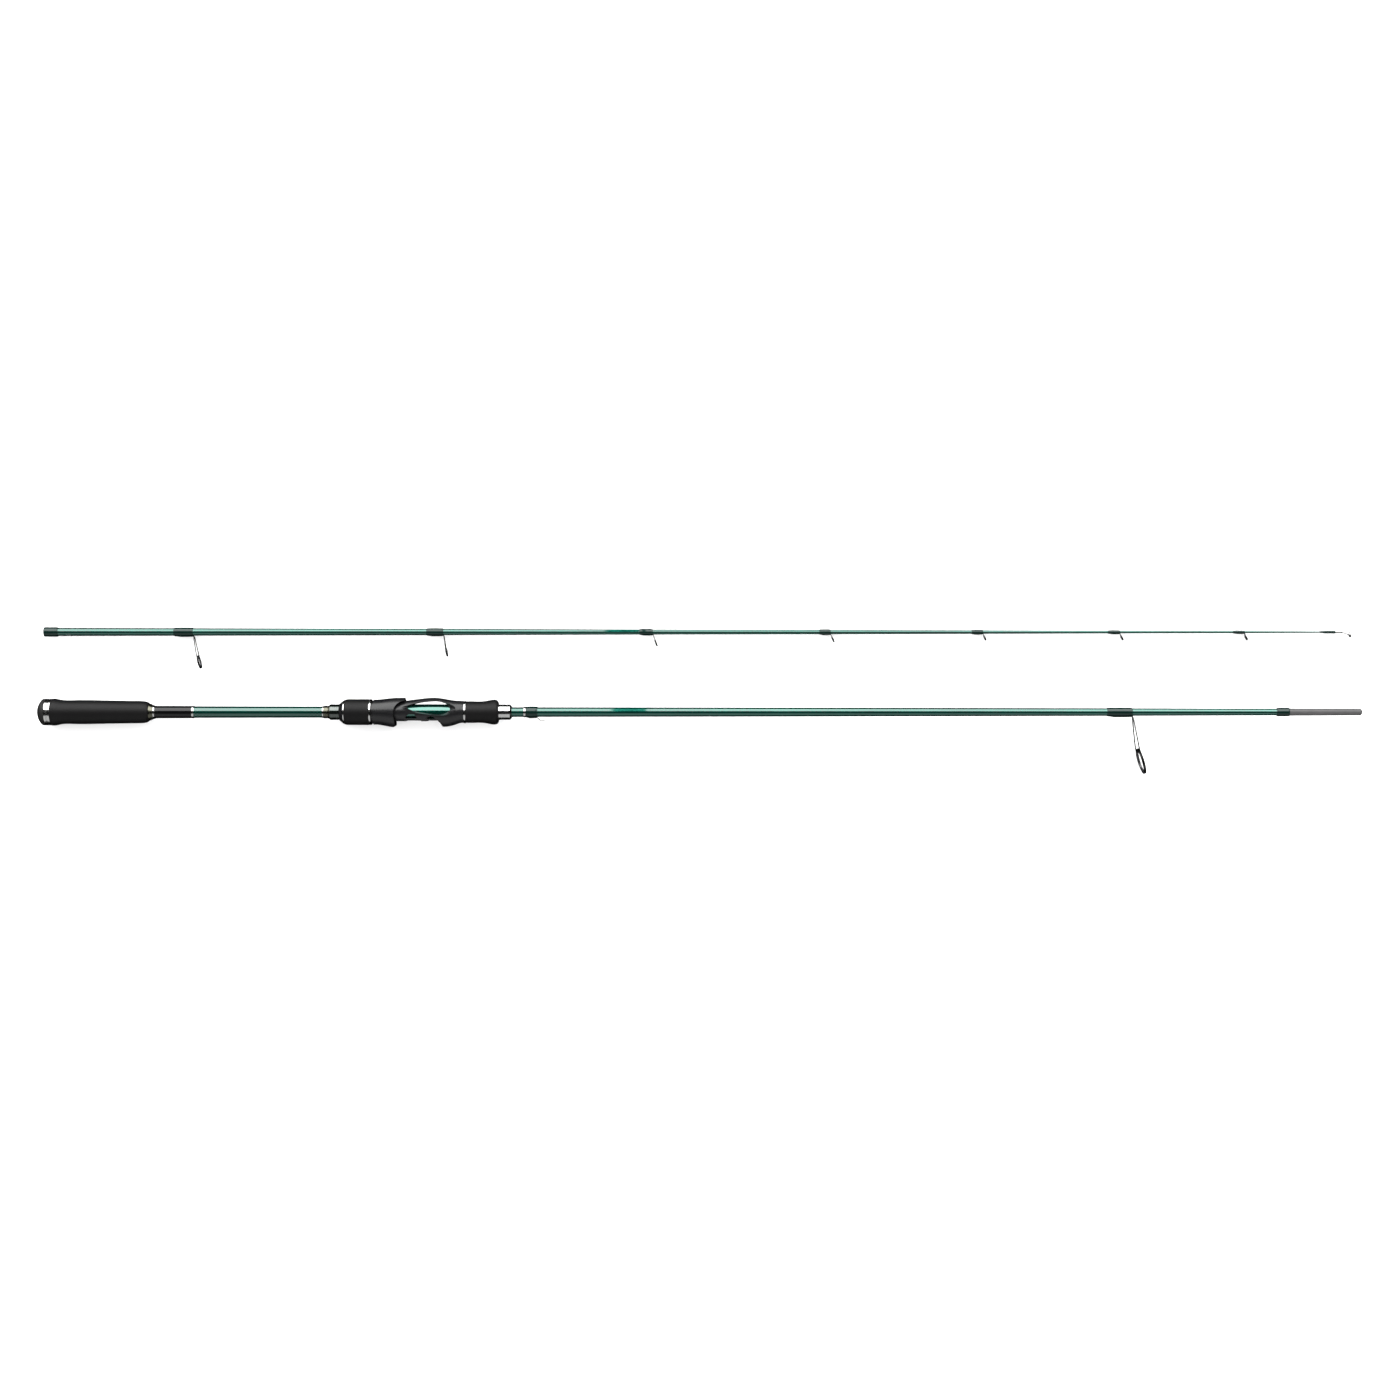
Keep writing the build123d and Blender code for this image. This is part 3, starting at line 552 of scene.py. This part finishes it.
def drawn_metal(name, low, high, roughness):
    """Polished stainless wire and strip, with fine scratches in every direction."""
    look = Look(name, high, roughness, 1.0)
    marks = look.noise(0.7 * MM, 5)
    scratches = look.noise(0.25 * MM, 3, (1, 0.15, 1))
    look.drive(Base_Color=look.blend(marks, low, high))
    look.drive(Roughness=look.ranged(scratches, roughness * 0.7, roughness * 1.6, 0.3, 0.7))
    return look.drive(Normal=look.bump(scratches, 0.006 * MM, 0.4)).material


def polished_ceramic():
    """Near-black guide ring, lapped to a gloss with a faint grain."""
    look = Look("polished_ceramic", (0.016, 0.016, 0.018), 0.1, 0.0, Specular_IOR_Level=0.8)
    grain = look.noise(0.15 * MM, 4)
    patch = look.noise(2.2 * MM, 2)
    look.drive(Base_Color=look.blend(patch, (0.012, 0.012, 0.0135), (0.022, 0.022, 0.025)))
    look.drive(Roughness=look.ranged(grain, 0.06, 0.16, 0.3, 0.7))
    return look.drive(Normal=look.bump(grain, 0.003 * MM, 0.3)).material


def moulded_rubber():
    """The butt cap: soft black rubber with a fine moulded grain and scuffed ridges."""
    look = Look("moulded_rubber", (0.006, 0.0058, 0.0058), 0.5, 0.0, Specular_IOR_Level=0.35)
    grain = look.noise(0.3 * MM, 4)
    scuffs = look.noise(2.5 * MM, 4, (1, 0.4, 1))
    look.drive(Base_Color=look.blend(scuffs, (0.004, 0.0038, 0.0038), (0.0095, 0.009, 0.0088)))
    look.drive(Roughness=look.ranged(scuffs, 0.4, 0.68, 0.3, 0.7))
    return look.drive(Normal=look.bump(grain, 0.03 * MM, 0.45)).material


def arbor_foam():
    """Rigid foam that packs the seat tube out from the blank, glimpsed inside it."""
    look = Look("arbor_foam", (0.36, 0.35, 0.3), 0.9, 0.0)
    bubbles = look.cells(0.7 * MM)
    look.drive(Base_Color=look.blend(bubbles, (0.24, 0.23, 0.2), (0.4, 0.39, 0.34)))
    return look.drive(Normal=look.bump(bubbles, 0.1 * MM, 0.8)).material


LACQUER = green_lacquer()
WOVEN = woven_lacquer()
BARE_CARBON = bare_carbon()
FOAM = foam()
PLASTIC = moulded_plastic()
TUBE_GREEN = tube_lacquer("tube_green", (0.002, 0.09, 0.064), (0.004, 0.125, 0.09), 0.9)
TUBE_GREY = tube_lacquer("tube_grey", (0.03, 0.042, 0.036), (0.05, 0.066, 0.058), 0.95)
GREEN_THREAD = thread("green_thread_look", (0.0008, 0.01, 0.0075), (0.003, 0.034, 0.026), 1.45)
BLACK_THREAD = thread("black_thread_look", (0.0015, 0.0015, 0.0018), (0.005, 0.005, 0.0055), 1.42)
BRIGHT_METAL = turned_metal("bright_metal_look", (0.6, 0.6, 0.595), (0.82, 0.82, 0.81), 0.16)
DARK_METAL = turned_metal("dark_metal_look", (0.1, 0.1, 0.075), (0.17, 0.168, 0.13), 0.22)
GUIDE_METAL = drawn_metal("guide_metal_look", (0.04, 0.04, 0.041), (0.085, 0.085, 0.086), 0.2)
TIP_METAL = drawn_metal("tip_metal_look", (0.45, 0.45, 0.44), (0.66, 0.66, 0.65), 0.16)
CERAMIC = polished_ceramic()
RUBBER = moulded_rubber()
ARBOR = arbor_foam()


# ------------------------------------------------------------------ turned pieces
# Each node's material, and the radius of its edges in millimetres.
TURNED_ON_BUTT = {
    "ferrule_end_plug": (PLASTIC, 0.15),
    "butt_cap_ring": (BRIGHT_METAL, 0.12),
    "rear_grip": (FOAM, 0.4),
    "rear_grip_check": (DARK_METAL, 0.15),
    "rear_check_trim": (BRIGHT_METAL, 0.1),
    "rear_black_wrap": (BLACK_THREAD, 0.1),
    "rear_wrap_trim": (BRIGHT_METAL, 0.08),
    "seat_check_trim": (BRIGHT_METAL, 0.08),
    "seat_rear_check": (DARK_METAL, 0.15),
    "foregrip_ring": (BRIGHT_METAL, 0.12),
    "foregrip": (FOAM, 0.5),
    "foregrip_check": (BRIGHT_METAL, 0.2),
    "keeper_trim": (BRIGHT_METAL, 0.06),
    "male_ferrule_wrap": (GREEN_THREAD, 0.2),
}
TURNED_ON_NUT = {
    "nut_rear_ring": (BRIGHT_METAL, 0.12),
    "nut_grip": (FOAM, 0.35),
    "nut_front_ring": (BRIGHT_METAL, 0.12),
}
TURNED_ON_TIP = {
    "female_ferrule_wrap": (GREEN_THREAD, 0.15),
    "tip_top_wrap": (GREEN_THREAD, 0.1),
}


def turned_set(entries, section, body):
    """All the turned pieces of one table."""
    for node, (material, corner) in entries.items():
        outer, inner = outlines(node, section)
        turned(node, section, material, body, corner=corner * MM, outer=thinned(outer), dome=not inner)


BLANK_SEGMENTS, BLANK_EDGE = 48, 0.15 * MM


def stretch_materials(piece, section, marks):
    """Gives each stretch of a piece, from one mark to the next, its own material."""
    polygons = piece.data.polygons
    centres = np.empty(len(polygons) * 3)
    polygons.foreach_get("center", centres)
    distances = section.local(centres.reshape(-1, 3))[:, 0]
    polygons.foreach_set("material_index", np.searchsorted(marks[1:], distances, side="right"))


def blank(node, section, body, stretches):
    """A blank in one piece, whose material changes at the distances given."""
    outer, inner = outlines(node, section)
    outer, inner = thinned(outer), thinned(inner)
    marks = [distance for distance, _ in stretches]
    for mark in marks[1:]:
        if all(abs(mark - distance) > 0.05 * MM for distance, _ in outer):
            outer = sorted(outer + [(mark, radius_of(outer, mark))])
    profile = rounded(outer + inner[::-1], BLANK_EDGE, closed=True)
    rings = circle_rings(section, profile, BLANK_SEGMENTS)
    materials = [material for _, material in stretches]
    piece = shell_of_rings(f"{node}_turned", rings, True, materials, body, [node])
    stretch_materials(piece, section, marks)
    even_normals(piece)


def span(node, section):
    """A node's least and greatest distance along its section."""
    distances = section.local(cad_points(node))[:, 0]
    return float(distances.min()), float(distances.max())


turned_set(TURNED_ON_BUTT, BUTT, "butt_section")
turned_set(TURNED_ON_NUT, BUTT, "hood_nut")
turned_set(TURNED_ON_TIP, TIP, "tip_section")
REAR_STRETCH = (span("rear_wrap_trim", BUTT)[1], span("seat_check_trim", BUTT)[0])
BARE_START = span("male_ferrule_wrap", BUTT)[1] - 0.05 * MM
blank(
    "butt_blank",
    BUTT,
    "butt_section",
    [(0.0, LACQUER), (REAR_STRETCH[0], WOVEN), (REAR_STRETCH[1], LACQUER), (BARE_START, BARE_CARBON)],
)
blank("tip_blank", TIP, "tip_section", [(0.0, LACQUER)])


# ------------------------------------------------------------------ joined pieces
def joined(parts, name, material, body, stands_for):
    """One closed mesh from several overlapping closed ones, each given as (points, faces)."""
    shapes = []
    for points, faces in parts:
        if not outward(points, faces):
            faces = [tuple(reversed(face)) for face in faces]
        mesh = bpy.data.meshes.new("shape")
        mesh.from_pydata([tuple(p) for p in points], [], faces)
        shape = bpy.data.objects.new("shape", mesh)
        bpy.context.scene.collection.objects.link(shape)
        shapes.append(shape)
    whole = shapes[0]
    for shape in shapes[1:]:
        union = whole.modifiers.new("union", "BOOLEAN")
        union.operation = "UNION"
        union.solver = "EXACT"
        union.object = shape
    seen = whole.evaluated_get(bpy.context.evaluated_depsgraph_get())
    made = bpy.data.meshes.new_from_object(seen)
    points = [vertex.co.copy() for vertex in made.vertices]
    faces = [tuple(polygon.vertices) for polygon in made.polygons]
    for shape in shapes:
        bpy.data.objects.remove(shape)
    piece = build(name, points, faces, material, body, stands_for)
    even_normals(piece)


def capped(rings):
    """Points and faces of a bar from its rings, with a flat cap at each end."""
    faces = rings_mesh(rings, False)[0]
    rows, columns = rings.shape[:2]
    faces.append(tuple(range(columns))[::-1])
    faces.append(tuple((rows - 1) * columns + column for column in range(columns)))
    return rings.reshape(-1, 3), faces


def hooped(rings):
    """Points and faces of a closed loop of rings."""
    return rings.reshape(-1, 3), rings_mesh(rings, True)[0]


def bent(corners, steps, passes):
    """An even path through its corners, eased by smoothing."""
    corners = np.asarray(corners, float)
    lengths = np.concatenate([[0], np.cumsum(np.linalg.norm(np.diff(corners, axis=0), axis=1))])
    places = np.linspace(0, lengths[-1], steps)
    path = np.stack([np.interp(places, lengths, corners[:, axis]) for axis in range(3)], axis=1)
    return np.stack([smoothed(path[:, axis], passes) for axis in range(3)], axis=1)


# ------------------------------------------------------------------ line guides
# Each frame's metal thickness and its half-width at the foot, in millimetres.
GUIDE_SECTIONS = {
    1: (1.1, 2.6),
    2: (0.9, 2.4),
    3: (0.8, 2.0),
    4: (0.7, 1.5),
    5: (0.6, 1.3),
    6: (0.6, 1.2),
    7: (0.6, 1.1),
    8: (0.6, 1.0),
}
FRAME_SPREAD = 0.15 * MM
# A band's wall is a fixed part and a share of its outer radius, and so is its length.
BAND_WALL, BAND_WALL_SHARE = 0.3 * MM, 0.07
BAND_LENGTH, BAND_LENGTH_SHARE = 0.9 * MM, 0.11
# A leg's width grows with its ring, and a foot's thickness is a share of its frame's.
LEG_WIDTH, LEG_WIDTH_SHARE = 0.55 * MM, 0.084
FOOT_TOE, FOOT_SHARE = 0.15 * MM, 0.8
# Where a leg starts inside its winding: how far behind the heel, and how far out as a share.
ENTRY = ((1.6 * MM, 0.12), (0.6 * MM, 0.3))


def band_size(ring_node, ring):
    """A guide band's outer radius, seat radius and length, from the ceramic ring that it holds."""
    seat = max(radius for _, radius in outlines(ring_node, ring)[0])
    outer = (seat + BAND_WALL) / (1 - BAND_WALL_SHARE)
    return outer, seat, BAND_LENGTH + BAND_LENGTH_SHARE * outer


def band_rings(ring, outer, seat, length, segments=96):
    """The band around a ceramic ring: a hoop with a rolled rim on each side."""
    half = length / 2
    profile = [(-half, outer), (half, outer), (half, seat), (-half, seat)]
    return circle_rings(ring, rounded(profile, 0.22 * MM, closed=True), segments)


def guide_leg(section, heel, ring, ring_top, spread, root, width, thickness, side):
    """One leg: out of the winding, round the heel, and down to the side of the ring."""
    middle = section.local([ring.origin])[0]
    path = [(heel[0] - reach, heel[1] + 0.1 * thickness, side * at * root) for reach, at in ENTRY]
    top, quarters = np.array(ring_top), (0.25, 0.5, 0.75, 1.0)
    stations = [np.array(heel)]
    stations += [np.array(heel) * (1 - t) + top * t for t in quarters]
    stations += [top * (1 - t) + middle[:2] * t for t in quarters]
    half_way = 0.58 * (root + spread)
    for distance, drop in stations:
        share = (drop - heel[1]) / (middle[1] - heel[1])
        outline = root * (1 - share) * (1 - 2 * share) + 4 * share * (1 - share) * half_way
        outline += spread * share * (2 * share - 1)
        path.append((distance, drop, side * (outline - width / 2)))
    path = bent(path, 64, 5)
    taper = np.ones(len(path))
    taper[:4] = (0.35, 0.5, 0.7, 0.88)
    taper[-4:] = (0.96, 0.86, 0.68, 0.4)
    lateral = section.axes.T @ np.array([0, 0, 1])
    return swept(section.world(path), width * taper, thickness * taper, lateral)


def guide_foot(section, blank_outline, start, heel, foot, half_width):
    """The foot on the blank: hollowed to sit on it, thin at the rear, full at the heel."""
    rings = []
    for share in np.linspace(0, 1, 14):
        distance = start + (heel - start) * share
        seat = radius_of(blank_outline, distance)
        height = FOOT_TOE + (foot - FOOT_TOE) * min(share / 0.6, 1.0)
        narrow = half_width * (0.45 + 0.55 * min(share / 0.5, 1.0))
        sides = np.linspace(-narrow, narrow, 9)
        under = [(distance, -math.sqrt(seat**2 - s**2) + 0.02 * MM, s) for s in sides[::-1]]
        crown = [(distance, -seat - height * (1 - 0.55 * abs(s / narrow) ** 4), s) for s in sides]
        rings.append(section.world(crown + under))
    return np.array(rings)


# A winding's gap of epoxy, its thread and coat, its shoulders, and its climb onto the foot.
EPOXY_GAP, WINDING_HEIGHT, WINDING_SHARE = 0.04 * MM, 0.22 * MM, 0.06
WINDING_SHOULDER, WINDING_RAMP = 1.3 * MM, 7 * MM


def wound(node, section, body, blank_outline, foot, material):
    """A thread winding under epoxy: round at its rear, swelling over the foot that it covers."""
    start, end = span(node, section)
    length = end - start
    thread_height = WINDING_HEIGHT + WINDING_SHARE * radius_of(blank_outline, end)
    ramp = min(WINDING_RAMP, 0.35 * length)
    angles = turns(72)
    from_foot = np.abs(np.angle(np.exp(1j * (angles - math.pi))))
    outer_rings, inner_rings = [], []
    for share in np.unique(np.concatenate([np.linspace(0, 1, 44), [0.004, 0.015, 0.985, 0.996]])):
        distance = start + length * share
        seat = radius_of(blank_outline, distance)
        from_end = min(distance - start, (end - distance) * 1.6)
        rise = math.sin(min(from_end / WINDING_SHOULDER, 1.0) * math.pi / 2) ** 0.6
        crown = 1 + 0.4 * math.sin(math.pi * share)
        round_radius = seat + EPOXY_GAP + thread_height * rise * crown
        climb = np.clip((distance - start - 0.25 * ramp) / (0.75 * ramp), 0, 1)
        lump = foot * climb**2 * (3 - 2 * climb)
        reach = math.acos(round_radius / (round_radius + lump)) if lump > 0 else 0.0
        tangent_radii = round_radius / np.cos(reach - np.minimum(from_foot, reach))
        radii = np.where(from_foot < reach, tangent_radii, round_radius)
        for _ in range(5):
            radii = 0.25 * np.roll(radii, 1) + 0.5 * radii + 0.25 * np.roll(radii, -1)
        outer_rings.append(ring_at(section, distance, radii, angles))
        inner_rings.append(ring_at(section, distance, seat, angles))
    rings = np.array(outer_rings + inner_rings[::-1])
    shell_of_rings(f"{node}_wound", rings, True, material, body, [node])


def line_guide(number, section, body, blank_outline):
    """A line guide: its bent frame, the ceramic ring in it, and the winding over its foot."""
    thickness, root = (value * MM for value in GUIDE_SECTIONS[number])
    name = f"guide_{number}"
    start, end = span(f"{name}_wrap", section)
    ring = ring_axis(f"{name}_ring", section)
    outer, seat, length = band_size(f"{name}_ring", ring)
    foot = FOOT_SHARE * thickness
    surface = radius_of(blank_outline, end)
    heel = (end + thickness / 2, -surface - foot / 2)
    ring_top = section.local([ring.origin + Vector(ring.side) * outer])[0][:2]
    width = LEG_WIDTH + LEG_WIDTH_SHARE * outer
    spread = outer + FRAME_SPREAD
    legs = [
        guide_leg(section, heel, ring, ring_top, spread, root, width, thickness, side) for side in (1, -1)
    ]
    foot_rings = guide_foot(section, blank_outline, start + 3 * MM, heel[0] + 0.1 * MM, foot, 0.5 * root)
    band = hooped(band_rings(ring, outer, seat, length))
    parts = [band, *[capped(leg) for leg in legs], capped(foot_rings)]
    joined(parts, f"{name}_frame_bent", GUIDE_METAL, body, [f"{name}_frame"])
    turned(f"{name}_ring", ring, CERAMIC, body, corner=0.08 * MM, segments=96)
    wound(f"{name}_wrap", section, body, blank_outline, foot, GREEN_THREAD)


BUTT_OUTLINE = thinned(outlines("butt_blank", BUTT)[0])
TIP_OUTLINE = thinned(outlines("tip_blank", TIP)[0])
line_guide(1, BUTT, "butt_section", BUTT_OUTLINE)
for number in range(2, 9):
    line_guide(number, TIP, "tip_section", TIP_OUTLINE)


# ------------------------------------------------------------------ tip-top
TUBE_LENGTH, TUBE_RADIUS, STRUT = 17 * MM, 1.1 * MM, 0.32 * MM


def tip_top():
    """A tube over the blank's end, three struts, and the ring's band."""
    ring = ring_axis("tip_top_ring", TIP)
    outer, seat, length = band_size("tip_top_ring", ring)
    start = span("tip_top_frame", TIP)[0]
    end = start + TUBE_LENGTH
    bore_start, bore_end = radius_of(TIP_OUTLINE, start), radius_of(TIP_OUTLINE, end - 2.2 * MM)
    tube = [(start, TUBE_RADIUS), (end - 0.5 * MM, TUBE_RADIUS), (end, 0.7 * MM), (end, 0.05 * MM)]
    tube += [(end - 2.0 * MM, 0.05 * MM), (end - 2.0 * MM, bore_end), (start, bore_start)]
    parts = [hooped(circle_rings(TIP, rounded(tube, 0.25 * MM, closed=True), 40))]
    struts = (
        ((0.5 * MM, 0.0), (outer - STRUT, 0.0)),
        ((-0.1 * MM, 0.7 * MM), (0.3 * MM, outer - STRUT)),
        ((-0.1 * MM, -0.7 * MM), (0.3 * MM, STRUT - outer)),
    )
    for (tube_side, tube_up), (ring_side, ring_up) in struts:
        first = np.array(TIP.point(end - 1.6 * MM, tube_side, tube_up))
        last = np.array(ring.point(0, ring_side, ring_up))
        path = bent([first, first * 0.35 + last * 0.65, last], 16, 3)
        across = np.cross(last - first, np.array(TIP.up) + 0.3 * np.array(TIP.side))
        across /= np.linalg.norm(across)
        widths, thicknesses = np.full(16, 2.1 * STRUT), np.full(16, 2.0 * STRUT)
        parts.append(capped(swept(path, widths, thicknesses, across, 3)))
    parts.append(hooped(band_rings(ring, outer, seat, length, 72)))
    joined(parts, "tip_top_frame_bent", TIP_METAL, "tip_section", ["tip_top_frame"])
    turned("tip_top_ring", ring, CERAMIC, "tip_section", corner=0.06 * MM)


tip_top()


# ------------------------------------------------------------------ hook keeper
KEEPER_WIRE, KEEPER_HALF_WIDTH, KEEPER_DROP = 0.5 * MM, 1.3 * MM, 3.0 * MM


def hook_keeper():
    """A wire loop, both of whose ends lie under one winding."""
    first, last = span("hook_keeper", BUTT)
    last -= KEEPER_WIRE
    rest = radius_of(BUTT_OUTLINE, first) + KEEPER_WIRE + 0.03 * MM
    half = [
        (first, -rest, KEEPER_HALF_WIDTH),
        (first + 5.4 * MM, -rest, KEEPER_HALF_WIDTH),
        (last - 3.1 * MM, -rest - KEEPER_DROP, KEEPER_HALF_WIDTH),
        (last, -rest - KEEPER_DROP, KEEPER_HALF_WIDTH),
    ]
    path = bent(half + [(x, y, -z) for x, y, z in half[::-1]], 150, 14)
    path = BUTT.world(path)
    tangents = np.gradient(path, axis=0)
    tangents /= np.linalg.norm(tangents, axis=1)[:, None]
    across = np.array(BUTT.side) + 0.01 * np.array(BUTT.along)
    normals = []
    for tangent in tangents:
        across = across - (across @ tangent) * tangent
        across /= np.linalg.norm(across)
        normals.append(across)
    normals = np.array(normals)
    others = np.cross(tangents, normals)
    cosines, sines = (wave(turns(20))[None, :, None] for wave in (np.cos, np.sin))
    rings = path[:, None] + KEEPER_WIRE * (normals[:, None] * cosines + others[:, None] * sines)
    shell_of_rings("hook_keeper_wire", rings, False, TIP_METAL, "butt_section", ["hook_keeper"])


hook_keeper()
wound("keeper_wrap", BUTT, "butt_section", BUTT_OUTLINE, 2 * KEEPER_WIRE, GREEN_THREAD)


# ------------------------------------------------------------------ seat tube and butt cap
THREAD_PITCH, THREAD_DEPTH = 2 * MM, 0.2 * MM
THREAD_FIRST, THREAD_LAST = 279.6 * MM, 323.4 * MM
# The half-width of a groove, as a share of the pitch, and the tube's broken rear edge.
GROOVE_SHARE = 0.27
TUBE_EDGE_LENGTH, TUBE_EDGE_DEPTH = 0.3 * MM, 0.25 * MM
# The ridges moulded into the butt cap's skirt.
RIDGE_PITCH, RIDGE_DEPTH = 0.85 * MM, 0.14 * MM


def seat_tube():
    """The seat's tube: a helical thread under the hood and nut, plain under the seat's body."""
    outer, inner = outlines("seat_tube", BUTT)
    first, last = outer[0][0], outer[-1][0]
    radius, bore = max(r for _, r in outer), min(r for _, r in inner)
    angles = turns(96)
    edge_distances = [first, first + TUBE_EDGE_LENGTH / 2, first + TUBE_EDGE_LENGTH]
    thread_distances = np.linspace(THREAD_FIRST, THREAD_LAST, 264)
    plain_distances = np.linspace(THREAD_LAST + TUBE_EDGE_LENGTH, last, 40)
    rings = []
    for distance in np.concatenate([edge_distances, thread_distances, plain_distances]):
        fade = np.clip(min(distance - THREAD_FIRST, THREAD_LAST - distance) / THREAD_PITCH, 0, 1)
        phase = ((distance / THREAD_PITCH) - angles / (2 * math.pi)) % 1.0
        groove = np.clip(1.0 - np.abs(phase - 0.5) / GROOVE_SHARE, 0, 1)
        depth = THREAD_DEPTH * fade * groove * groove * (3 - 2 * groove)
        edge = TUBE_EDGE_DEPTH * max(0.0, 1 - (distance - first) / TUBE_EDGE_LENGTH)
        rings.append(ring_at(BUTT, distance, radius - depth - edge, angles))
    for distance in np.linspace(last, first, 12):
        rings.append(ring_at(BUTT, distance, bore, angles))
    materials = [TUBE_GREY, TUBE_GREEN]
    piece = shell_of_rings(
        "seat_tube_threaded", np.array(rings), True, materials, "butt_section", ["seat_tube"]
    )
    stretch_materials(piece, BUTT, [first, THREAD_LAST])


def butt_cap():
    """The rubber cap, with fine ridges turned into its dome and skirt."""
    outer = thinned(outlines("butt_cap", BUTT)[0], 0.003 * MM)
    skirt_end = span("butt_cap_ring", BUTT)[0] + 0.05 * MM
    skirt = [point for point in outer if point[0] < skirt_end]
    distances, radii = np.array(skirt).T
    lengths = np.concatenate([[0], np.cumsum(np.hypot(np.diff(distances), np.diff(radii)))])
    places = np.linspace(0, lengths[-1], 190)
    along, radius = np.interp(places, lengths, distances), np.interp(places, lengths, radii)
    ridge = 0.5 - 0.5 * np.cos(2 * math.pi * places / RIDGE_PITCH)
    from_ends = np.minimum(places - 1.5 * MM, lengths[-1] - 0.3 * MM - places)
    ridge *= np.clip(from_ends / (0.4 * MM), 0, 1)
    rise, run = np.gradient(radius), np.gradient(along)
    slope = rise / np.maximum(np.hypot(rise, run), TINY_LENGTH)
    cut = RIDGE_DEPTH * ridge
    inward = cut * np.sqrt(np.clip(1 - slope**2, 0, 1))
    profile = list(zip(along + cut * np.abs(slope), radius - inward))
    profile += [point for point in outer if point[0] >= skirt_end]
    turned("butt_cap", BUTT, RUBBER, "butt_section", corner=0.1 * MM, segments=96, outer=profile, dome=True)


seat_tube()
butt_cap()


# ------------------------------------------------------------------ carried-over CAD nodes
def finish_cad(node, material):
    """Gives a CAD node its material and keeps its own shape."""
    cad = frame["nodes"][node]
    for slot in cad.material_slots:
        slot.link = "OBJECT"
        slot.material = material


CAD_LOOKS = {
    "seat_body": PLASTIC,
    "hood": PLASTIC,
    "nut_core": PLASTIC,
    "seat_rear_arbor": ARBOR,
    "seat_front_arbor": ARBOR,
}
for node, material in CAD_LOOKS.items():
    finish_cad(node, material)


# ------------------------------------------------------------------ floor, light and camera
FLOOR_SIZE = 60.0
WORLD_STRENGTH = 1.35
# The two long panels behind the rod stand end to end, with a narrow gap between them.
KEY_SIDE, KEY_HEIGHT, KEY_SIZE, KEY_RADIANCE = 0.92, 0.67, (1.7, 1.36), 4.4
KEY_GAP_MIDDLE, KEY_GAP = -0.1, 0.05
# The camera looks straight down from above the butt section; LENS and SENSOR are millimetres.
CAMERA_DISTANCE = 2.187
LENS, SENSOR = 59.12, 36.0
CAMERA_SIDE = 0.0005


def make_floor():
    """A plain pale floor, which polished parts don't reflect."""
    half = FLOOR_SIZE / 2
    corners = [(-half, -half, 0), (half, -half, 0), (half, half, 0), (-half, half, 0)]
    mesh = bpy.data.meshes.new("floor")
    mesh.from_pydata(corners, [], [(0, 1, 2, 3)])
    floor = bpy.data.objects.new("floor", mesh)
    bpy.context.scene.collection.objects.link(floor)
    look = Look("floor_paint", (0.92, 0.92, 0.92), 0.9, 0.0, Specular_IOR_Level=0.0)
    look.drive(Base_Color=look.blend(look.noise(0.8, 2), (0.91, 0.91, 0.91), (0.93, 0.93, 0.93)))
    mesh.materials.append(look.material)
    floor.visible_glossy = False


def softbox(name, middle, towards, size, radiance):
    """A rectangular light panel of the radiance given, facing a point."""
    lamp = bpy.data.lights.new(name, "AREA")
    lamp.shape = "RECTANGLE"
    lamp.size, lamp.size_y = size
    lamp.energy = radiance * math.pi * size[0] * size[1]
    panel = bpy.data.objects.new(name, lamp)
    bpy.context.scene.collection.objects.link(panel)
    panel.location = middle
    back = (Vector(middle) - Vector(towards)).normalized()
    across = Vector((1, 0, 0))
    upward = back.cross(across).normalized()
    panel.matrix_world = Matrix.Translation(middle) @ Matrix((across, upward, back)).transposed().to_4x4()
    return panel


def make_lights():
    """A pale world, two key panels behind the rod, and two dim ones in front of it."""
    world = bpy.data.worlds.new("studio")
    world.use_nodes = True
    background = world.node_tree.nodes["Background"]
    background.inputs["Color"].default_value = (1, 1, 1, 1)
    background.inputs["Strength"].default_value = WORLD_STRENGTH
    bpy.context.scene.world = world
    world.cycles_visibility.glossy = False
    for name, side in (("key_rear", -1), ("key_front", 1)):
        x = KEY_GAP_MIDDLE + side * (KEY_GAP + KEY_SIZE[0]) / 2
        softbox(name, (x, KEY_SIDE, KEY_HEIGHT), (x, 0.0, 0.02), KEY_SIZE, KEY_RADIANCE)
    softbox("fill", (0, -1.0, 0.62), (0, 0.0, 0.02), (3.6, 1.2), 0.6)
    # A pale strip low in front, which the lower edges reflect in place of the floor.
    low = softbox("low_fill", (0, -1.4, 0.004), (0, -1.4, 1.0), (4.0, 2.3), 0.42)
    low.visible_camera = False


def make_camera():
    """The camera, straight above the middle of the two sections."""
    camera = bpy.data.objects.new("camera", bpy.data.cameras.new("camera"))
    camera.data.lens = LENS
    camera.data.sensor_width = SENSOR
    camera.data.clip_end = 200
    camera.location = (0, CAMERA_SIDE, BUTT.origin.z + CAMERA_DISTANCE)
    bpy.context.scene.collection.objects.link(camera)
    bpy.context.scene.camera = camera


make_floor()
make_lights()
make_camera()
bpy.context.scene.view_settings.view_transform = "Standard"
